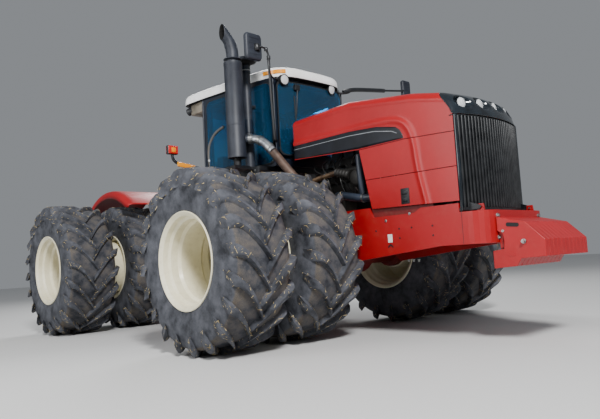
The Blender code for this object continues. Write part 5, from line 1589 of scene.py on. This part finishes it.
def spout():
    """The curved outlet, open at the top, leaning outward with its tip cut upright."""
    radius, bend, aim, last_turn, sides = 0.082, 0.39, radians(170), radians(50), 44
    out = Vector((cos(aim), sin(aim), 0))
    path = [Vector((stack_x, stack_y, stack_top + z)) for z in (0.03, 0.06, 0.08, 0.10)]
    for i in range(1, 25):
        turn = last_turn * i / 24
        path.append(path[3] + out * bend * (1 - cos(turn)) + Vector((0, 0, bend * sin(turn))))
    ahead = out * sin(last_turn) + Vector((0, 0, cos(last_turn)))
    verts = []
    left = [0.0]
    for a, b in zip(reversed(path[:-1]), reversed(path[1:])):
        left.append(left[-1] + (b - a).length)
    left.reverse()
    for i, spot in enumerate(path):
        tangent = (path[min(i + 1, len(path) - 1)] - path[max(i - 1, 0)]).normalized()
        across = tangent.cross(out.cross(Vector((0, 0, 1)))).normalized()
        level = tangent.cross(across)
        for k in range(sides):
            a = 2 * pi * k / sides
            v = spot + radius * (cos(a) * across + sin(a) * level)
            if left[i] < 0.20:
                lean = (spot - v).dot(out) / ahead.dot(out)
                v += ahead * lean * (1 - left[i] / 0.20)
            verts.append(v)
    piece = shape("spout", verts, quads(len(path), sides, round_columns=True), 60)
    centre = sum(path, Vector()) / len(path)
    if sum((p.center - centre).dot(p.normal) * p.area for p in piece.data.polygons) < 0:
        piece.data.flip_normals()
    piece.data.materials.append(heat_coat)
    piece.data.materials.append(soot_and_painted_shade)
    return walled(piece, 0.004, 1)


can = [(0.001, stack_foot + 0.13), (0.06, stack_foot + 0.13), (0.110, stack_foot + 0.128),
    (0.117, stack_foot + 0.12), (0.1235, stack_foot + 0.122), (0.1235, stack_foot + 0.16),
    (0.121, stack_foot + 0.165), (0.121, stack_top - 0.05), (0.1235, stack_top - 0.045),
    (0.1235, stack_top - 0.004), (0.115, stack_top), (0.10, stack_top + 0.006), (0.086, stack_top + 0.012),
    (0.086, stack_top + 0.030), (0.120, stack_top + 0.034), (0.122, stack_top + 0.040),
    (0.120, stack_top + 0.045), (0.084, stack_top + 0.048), (0.0825, stack_top + 0.052),
    (0.001, stack_top + 0.052)]
stack_parts = [upright("can", can, stack_x, stack_y, heat_coat), spout(),
    # the foot under the can is in the painted-shade black
    upright("foot", [(0.001, stack_foot), (0.06, stack_foot), (0.06, stack_foot + 0.012),
    (0.048, stack_foot + 0.02), (0.048, stack_foot + 0.125), (0.07, stack_foot + 0.131),
    (0.001, stack_foot + 0.131)], stack_x, stack_y, painted_shade_black, 40), upright("seam_band",
    [(0.121, 2.71), (0.123, 2.712), (0.123, 2.728), (0.121, 2.73), (0.121, 2.71)], stack_x, stack_y,
    heat_coat)]
place(merged("exhaust_stack", stack_parts), "front_body", "black_paint", "exhaust_muffler")

start_x, start_y = stack_x + 0.088, stack_y - 0.088
elbow = [(start_x, start_y, 2.527), (start_x + 0.03, start_y - 0.03, 2.527), (-0.895, f + 0.675, 2.524),
    (-0.87, f + 0.61, 2.505), (-0.855, f + 0.53, 2.46), (-0.845, f + 0.45, 2.395), (-0.83, f + 0.38, 2.317)]
hot = [(-0.83, f + 0.38, 2.317), (-0.785, f + 0.33, 2.22), (-0.72, f + 0.27, 2.10), (-0.66, f + 0.20, 1.98),
    (-0.59, f + 0.11, 1.86), (-0.52, f + 0.03, 1.79), (-0.46, f - 0.02, 1.76), (-0.385, f - 0.02, 1.76)]
pipe_parts = [pipe("elbow", elbow, 0.054, bright_steel, 6, 36), pipe("hot_pipe", hot, 0.056, rusty, 6, 36),
    pipe("collar", [elbow[0], (start_x + 0.022, start_y - 0.022, 2.527)], 0.060, heat_coat, 2, 36)]
for start, end in ((Vector(elbow[1]), Vector(elbow[2])), (Vector(elbow[3]), Vector(elbow[4])),
        (Vector(elbow[5]), Vector(elbow[6]))):
    middle = start.lerp(end, 0.35)
    ahead = (end - start).normalized()
    band = pipe("band", [middle - ahead * 0.028, middle + ahead * 0.028], 0.0625, zinc, 3, 36)
    pipe_parts.append(band)
    for reach in (-0.012, 0.012):
        across = ahead.cross(Vector((0, 0, 1))).normalized()
        spot = middle + ahead * reach + across * 0.066
        pipe_parts.append(bolt(tuple(spot), (0, 0, 1), 0.008, 0.02))
place(merged("exhaust_pipework", pipe_parts), "front_body", "black_paint", "exhaust_pipe")

intake_x, intake_y = -0.81, f + 0.88
intake_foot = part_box("air_intake")[0].z
rain_cap = [(0.001, 3.623), (0.146, 3.623), (0.154, 3.628), (0.155, 3.642), (0.150, 3.656), (0.125, 3.676),
    (0.08, 3.690), (0.03, 3.6985), (0.001, 3.70)]
# the underside of the rain cap is painted shade in the same black
under_cap = [(0.001, 3.57), (0.064, 3.57), (0.068, 3.60), (0.138, 3.624), (0.001, 3.626)]
intake_parts = [upright("tube", [(0.001, intake_foot), (0.064, intake_foot), (0.064, 2.60), (0.060, 2.66),
    (0.056, 3.47), (0.001, 3.47)], intake_x, intake_y, heat_coat, 40),
    upright("neck", [(0.056, 3.46), (0.064, 3.462), (0.064, 3.572), (0.056, 3.574)], intake_x, intake_y,
    cab_black, 40), upright("rain_cap", rain_cap, intake_x, intake_y, heat_coat, 56),
    upright("under_cap", under_cap, intake_x, intake_y, soot_and_painted_shade, 56), upright("low_boot",
    [(0.060, 2.64), (0.070, 2.645), (0.070, 2.83), (0.060, 2.835), (0.060, 2.64)], intake_x, intake_y,
    cab_black, 40)]
intake_parts += [upright("clip", band_of(0.056, 0.0665, z, z + 0.014), intake_x, intake_y, zinc, 32)
    for z in (2.66, 3.50)]
intake_parts.append(block("stay", (-0.76, f + 0.86, 3.00), (-0.68, f + 0.91, 3.04), satin_black, 0.004))
place(merged("air_intake_tube", intake_parts), "front_body", "black_paint", "air_intake")

# ---- Mirrors and warning lamps ----------------------------------------------------------------------
# Moulded black mirror heads ride on bent steel arms. Each warning lamp stands on an arm that folds out
# from the deck, with an amber strip along it.
# silvered glass: a plain mirror with a breath of haze
mirror_glass = patterned("silvered_mirror_glass", "Noise", {"Scale": 8.0, "Detail": 4.0},
    (0.4, 0.8, "#c9ced4", "#aab0b6"), Metallic=1.0, Roughness=0.04)


def mirror_head(x_low, x_high, z_low, z_high, y):
    """A moulded case with a ribbed back and a silvered pane facing rearward."""
    half_x, half_z = (x_high - x_low) / 2, (z_high - z_low) / 2
    cx, cz = (x_low + x_high) / 2, (z_low + z_high) / 2
    rows = [(0.90, 0.060), (0.985, 0.056), (1.0, 0.040), (1.0, 0.022), (0.95, 0.008), (0.84, 0.002),
        (0.45, 0.0)]
    verts, faces = [], []
    ring = rounded((-1, -1), (1, 1), 0.32, 8)
    for scale, depth in rows:
        verts += [(cx + half_x * u * scale, y + depth, cz + half_z * v * scale) for u, v in ring]
    count = len(ring)
    faces = quads(len(rows), count, round_columns=True)
    faces.append(tuple(range(count)))
    faces.append(tuple(reversed(range((len(rows) - 1) * count, len(rows) * count))))
    case = shape("case", verts, faces, 50, material=heat_coat)
    pane = [(cx + half_x * 0.86 * u, y + 0.0605, cz + half_z * 0.88 * v) for u, v in ring]
    glass = shape("pane", pane + [(px, y + 0.058, pz) for px, _, pz in pane],
        [tuple(range(count)), tuple(reversed(range(count, 2 * count)))]
        + [(j, (j + 1) % count, count + (j + 1) % count, count + j) for j in range(count)], 30,
        material=mirror_glass)
    pieces = [case, glass]
    for k in range(4):
        z = cz - half_z * 0.6 + half_z * 0.4 * k
        pieces.append(block("rib", (x_low + half_x * 0.4, y - 0.0035, z),
            (x_high - half_x * 0.4, y + 0.006, z + 0.008), heat_coat, 0.003))
    return pieces


head = mirror_head(-1.128, -0.872, 3.500, 3.850, f + 0.43)
post = [(-0.58, f + 0.505, 3.36), (-0.585, f + 0.50, 3.335), (-0.62, f + 0.475, 3.31),
    (-0.74, f + 0.42, 3.315), (-0.80, f + 0.40, 3.37), (-0.80, f + 0.40, 3.52), (-0.805, f + 0.40, 3.60),
    (-0.84, f + 0.40, 3.66), (-0.90, f + 0.405, 3.675), (-0.95, f + 0.43, 3.675)]
head.append(pipe("arm", post, 0.013, satin_black, 6, 16))
head.append(pipe("stay_rod", [(-0.80, f + 0.40, 3.55), (-0.77, f + 0.425, 3.1), (-0.72, f + 0.455, 2.55),
    (-0.69, f + 0.48, 2.50), (-0.645, f + 0.51, 2.50)], 0.018, satin_black, 6, 14))
for x, y, z, r in ((-0.80, 0.40, 3.55, 0.026), (-0.835, 0.40, 3.655, 0.024), (-0.965, 0.425, 3.665, 0.042)):
    head.append(upright("knuckle", [(0.001, z - r), (r * 0.8, z - r), (r, z - r * 0.7), (r, z + r * 0.7),
        (r * 0.8, z + r), (0.001, z + r)], x, f + y, satin_black, 24, 40))
place(merged("right_mirror_head", head), "front_body", "black_paint", "right_mirror")

head = mirror_head(2.072, 2.268, 3.462, 3.748, f + 0.43)
arm = [(0.58, f + 0.505, 3.36), (0.585, f + 0.50, 3.335), (0.62, f + 0.475, 3.31), (0.72, f + 0.42, 3.325),
    (0.82, f + 0.40, 3.38), (1.40, f + 0.42, 3.46), (2.00, f + 0.44, 3.55), (2.12, f + 0.45, 3.58)]
head.append(pipe("arm", arm, 0.016, satin_black, 8, 16))
head.append(pipe("thick_arm", [(0.64, f + 0.45, 3.325), (0.82, f + 0.40, 3.375), (1.40, f + 0.42, 3.46),
    (1.56, f + 0.43, 3.482)], 0.032, satin_black, 8, 18))
place(merged("left_mirror_head", head), "front_body", "black_paint", "left_mirror")


def lamp_post(side, y, root):
    """A folding arm with its lamp: arm pipe, hinge, square lamp with lenses fore and aft."""
    path = [(side * root, y, 2.14), (side * (root + 0.08), y, 2.14), (side * 1.40, y, 2.185),
        (side * 1.72, y, 2.23), (side * 1.775, y, 2.25), (side * 1.805, y, 2.285), (side * 1.815, y, 2.335)]
    pieces = [pipe("arm", path, 0.019, satin_black, 6, 18)]
    pieces.append(block("hinge", (side * (root + 0.02), y - 0.03, 2.118),
        (side * (root + 0.11), y + 0.03, 2.162), satin_black, 0.006))
    x = side * 1.815
    pieces.append(block("lamp_case", (x - 0.072, y - 0.028, 2.335), (x + 0.072, y + 0.028, 2.448),
        satin_black, 0.012, 3))
    for step in (-1, 1):
        pieces.append(block("lens", (x - 0.066, y + step * 0.026, 2.341),
            (x + 0.066, y + step * 0.040, 2.443), lamp_red, 0.007, 3))
        pieces.append(block("lens_heart", (x - 0.03, y + step * 0.038, 2.36),
            (x + 0.03, y + step * 0.0425, 2.42), amber, 0.004, 2))
    bar = block("strip", (side * 1.50, y - 0.036, 2.168), (side * 1.755, y - 0.012, 2.226), amber, 0.005, 2)
    for vertex in bar.data.vertices:
        vertex.co.z += (abs(vertex.co.x) - 1.62) * 0.14
    pieces.append(bar)
    return pieces


place(merged("right_warning_lamp", lamp_post(-1, f + 1.18, 0.862)), "front_body", "black_paint",
    "right_lamp_arm")
place(merged("left_warning_lamp", lamp_post(1, f + 0.67, 1.102)), "front_body", "black_paint",
    "left_lamp_arm")

# ---- Deck, steps, rails and tank -------------------------------------------------------------------
# Folded steel deck and ladder in satin black with raised grip studs, tubular rails, and a grey
# ribbed grab hose at the cab's rear corner.
coat(satin_black, "cab_deck", "entry_steps", "front_handrail", "rear_handrail")
# ribbed hose: dusty grey-brown on a smooth tube, its rib every 30 mm drawn as bands of painted highlight and
# shade
grip_grey_and_rib_shade = patterned("grey_grip_rubber_painted_rib_shade", "Wave", {"Scale": 1 / 0.03},
    (0.2, 0.8, "#3a3632", "#6e6963"), bands="Z", Roughness=0.62)


def grid_tree():
    """Geometry Nodes: a stud at every point of the flat piece, small cones realized."""
    tree, given = node_group("grip_studs", Radius="Float", Height="Float")
    stud = add(tree, "GeometryNodeMeshCone", {"Vertices": 8, "Radius Top": 0.004,
        "Radius Bottom": given["Radius"], "Depth": given["Height"]})
    copies = add(tree, "GeometryNodeInstanceOnPoints", {"Points": given["Geometry"],
        "Instance": stud.outputs[0]})
    return realized(tree, copies, given)


deck_low, deck_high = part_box("cab_deck")
spots = []
for side in (-1, 1):
    reach = deck_high.x if side > 0 else -deck_low.x
    for i in range(40):
        y = 0.66 + 0.03 * i
        for j in range(12):
            x = cab_x(y) + 0.03 + 0.03 * j
            if x < reach - 0.02 and not (side < 0 and y < 1.06):
                spots.append((side * x, f + y, deck_high.z + 0.002))
for z in (0.58, 0.95, 1.32, 1.69):
    share = (2.1 - z) / 1.55
    for i in range(14):
        for j in range(7 if z < 1.0 else 10):
            x = 0.66 + share * 0.14 + 0.05 + 0.04 * j
            if x < 1.04 + share * 0.06:
                spots.append((x, f + 1.19 + 0.033 * i, z + 0.027))
studs_at = shape("spots", [], [])
studs_at.data.from_pydata(spots, [], [])
grip = grow(studs_at, grid_tree(), Radius=0.008, Height=0.005, Material=zinc)
grab = [(-0.77, f + 1.50, 2.872), (-0.785, f + 1.60, 2.845), (-0.80, f + 1.72, 2.78),
    (-0.81, f + 1.82, 2.66), (-0.812, f + 1.85, 2.52), (-0.80, f + 1.85, 2.38), (-0.79, f + 1.84, 2.24),
    (-0.785, f + 1.83, 2.175)]
deck_parts = [grip, pipe("grab_hose", grab, 0.020, grip_grey_and_rib_shade, 8, 16),
    block("stack_shelf", (-1.188, f + 0.712, 2.1662), (-0.95, f + 0.90, 2.172), satin_black, 0.003),
    block("valance", (-0.866, f + 0.63, 2.04), (-0.861, f + 1.89, 2.165), satin_black, 0.002),
    upright("hose_clip", band_of(0.020, 0.024, 2.42, 2.45), -0.805, f + 1.85, zinc, 24)]
for y in (0.72, 1.80):
    deck_parts.append(bolt((-0.868, f + y, 2.12), (-1, 0, 0), 0.012, 0.010))
place(merged("deck_grip", deck_parts), "front_body", "black_paint")

# ---- Fenders and rear end ----------------------------------------------------------------------------
# Pressed red fenders arch over the rear duals, with a rolled lip; between them stands the black
# moulded fuel tank with two steel straps, rear lamps and a blank plate.
fender_red = dusty_enamel("red_fender_enamel", "#9c030c", "#a80c15", "#a8584c", 0.48, 1.6, 0.05, 0.12)
rear = rear_axle_y
fender_inner, fender_outer, fender_radius = 0.50, 1.46, 1.238


def fender(side):
    """An arched sheet with a turned-down outer lip."""
    steps, lip, first, last = 56, 0.125, radians(35), radians(130)
    profile = [(fender_inner + 0.002, -0.05), (fender_inner + 0.002, -0.004), (fender_inner + 0.01, 0.0),
        (fender_outer - 0.13, 0.0), (fender_outer - 0.07, -0.004), (fender_outer - 0.030, -0.016),
        (fender_outer - 0.008, -0.040), (fender_outer - 0.001, -0.075), (fender_outer - 0.001, -lip)]
    verts = []
    for i in range(steps + 1):
        a = first + (last - first) * i / steps
        end = min(1.0, min(i, steps - i) / 3)
        for x, drop in profile:
            r = fender_radius + max(drop, -lip) * (0.55 + 0.45 * end)
            verts.append((side * x, rear + r * cos(a), axle_z + r * sin(a)))
    piece = shape("skin", verts, quads(steps + 1, len(profile)), 50)
    if sum(p.normal.z * p.area for p in piece.data.polygons) < 0:
        piece.data.flip_normals()
    piece = walled(piece, 0.006)
    piece.data.materials.clear()
    piece.data.materials.append(fender_red)
    return piece


def rear_lamps(side):
    """Bracket, square tail lamp and amber turn lamp on a fender's rear edge."""
    y = rear + fender_radius * cos(radians(35))
    z = axle_z + fender_radius * sin(radians(35))
    parts = [block("lamp_bar", (side * 1.05, y - 0.03, z - 0.06), (side * 1.40, y + 0.01, z + 0.07),
        satin_black, 0.006)]
    for low, high, material in ((1.06, 1.20, lamp_red), (1.22, 1.39, amber)):
        parts.append(block("lens", (side * low, y + 0.006, z - 0.05), (side * high, y + 0.030, z + 0.06),
            material, 0.008, 3))
    return parts


for side, hand in ((-1, "right"), (1, "left")):
    sheet = [fender(side)] + rear_lamps(side)
    for a in (60, 100):
        a = radians(a)
        for x in (0.52, 0.56):
            spot = (side * x, rear + (fender_radius - 0.002) * cos(a),
                axle_z + (fender_radius - 0.002) * sin(a))
            sheet.append(bolt(spot, (0, cos(a), sin(a)), 0.012, 0.012))
    place(merged(f"{hand}_arched_fender", sheet), "rear_body", "red_paint", f"rear_{hand}_fender")

tank_black, tree, shader = finish("rotomoulded_black_polyethylene", Roughness=0.55)
coords = add(tree, "ShaderNodeTexCoord").outputs["Object"]
peel = add(tree, "ShaderNodeTexNoise", {"Vector": coords, "Scale": 1 / 0.005, "Detail": 2.0})
film_dust = add(tree, "ShaderNodeTexNoise", {"Vector": coords, "Scale": 3.0, "Detail": 6.0})
tree.links.new(ramp(tree, film_dust.outputs[0], 0.4, 0.75, "#0f1012", "#3b3833"), shader.inputs[0])
tree.links.new(add(tree, "ShaderNodeBump", {"Strength": 0.35, "Distance": 0.001,
    "Height": peel.outputs[0]}).outputs[0], shader.inputs["Normal"])
tank_low, tank_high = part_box("fuel_tank")
tank = [block("shell", tuple(tank_low), tuple(tank_high), tank_black, 0.07, 5)]
for share in (0.24, 0.76):
    y = tank_low.y + (tank_high.y - tank_low.y) * share
    for low, high in (((tank_low.x + 0.06, y - 0.03, tank_high.z - 0.002),
            (tank_high.x - 0.06, y + 0.03, tank_high.z + 0.004)), ((tank_low.x - 0.004, y - 0.03,
            tank_low.z + 0.06), (tank_low.x + 0.002, y + 0.03, tank_high.z - 0.06)),
            ((tank_high.x - 0.002, y - 0.03, tank_low.z + 0.06), (tank_high.x + 0.004, y + 0.03,
            tank_high.z - 0.06))):
        tank.append(block("strap", low, high, zinc, 0.002))
tank.append(upright("filler", [(0.001, tank_high.z - 0.01), (0.06, tank_high.z - 0.01),
    (0.06, tank_high.z + 0.03), (0.072, tank_high.z + 0.032), (0.072, tank_high.z + 0.062),
    (0.06, tank_high.z + 0.072), (0.001, tank_high.z + 0.074)], -0.25, tank_low.y + 0.20, satin_black, 32))
for k in range(5):
    x = tank_low.x + 0.14 + 0.18 * k
    tank.append(block("rib", (x, tank_high.y - 0.006, tank_low.z + 0.10),
        (x + 0.05, tank_high.y + 0.006, tank_high.z - 0.10), tank_black, 0.006, 3))
tank.append(block("blank_plate", (-0.16, tank_high.y + 0.001, tank_high.z - 0.09),
    (0.16, tank_high.y + 0.010, tank_high.z - 0.03), roof_white, 0.003))
place(merged("fuel_tank_shell", tank), "rear_body", "black_paint", "fuel_tank")

# hydraulic couplers on the rear cross plate, the drawbar's wear plate and pin
frame_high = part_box("rear_frame")[1]
couplers = []
for row in range(2):
    for k in range(5):
        x, z = -0.20 + 0.10 * k, 1.14 + 0.11 * row
        couplers.append(turned("coupler", [(0.001, -0.002), (0.032, -0.002), (0.032, 0.018), (0.026, 0.022),
            (0.026, 0.052), (0.018, 0.056), (0.014, 0.030), (0.001, 0.030)], 24, 40, material=zinc,
            at=(x, frame_high.y, z), swing="Z"))
        couplers.append(block("colour_tab", (x - 0.014, frame_high.y - 0.001, z + 0.036),
            (x + 0.014, frame_high.y + 0.006, z + 0.050), (lamp_red, amber, beige, tag_paint, cab_black)[k],
            0.002))
bar_low, bar_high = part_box("drawbar")
couplers.append(upright("pin", [(0.001, bar_low.z - 0.04), (0.0245, bar_low.z - 0.04),
    (0.0245, bar_low.z + 0.075), (0.036, bar_low.z + 0.078), (0.036, bar_low.z + 0.092),
    (0.001, bar_low.z + 0.094)], 0, bar_high.y - 0.08, zinc, 28))
place(merged("rear_couplers", couplers), "rear_body", "black_paint")
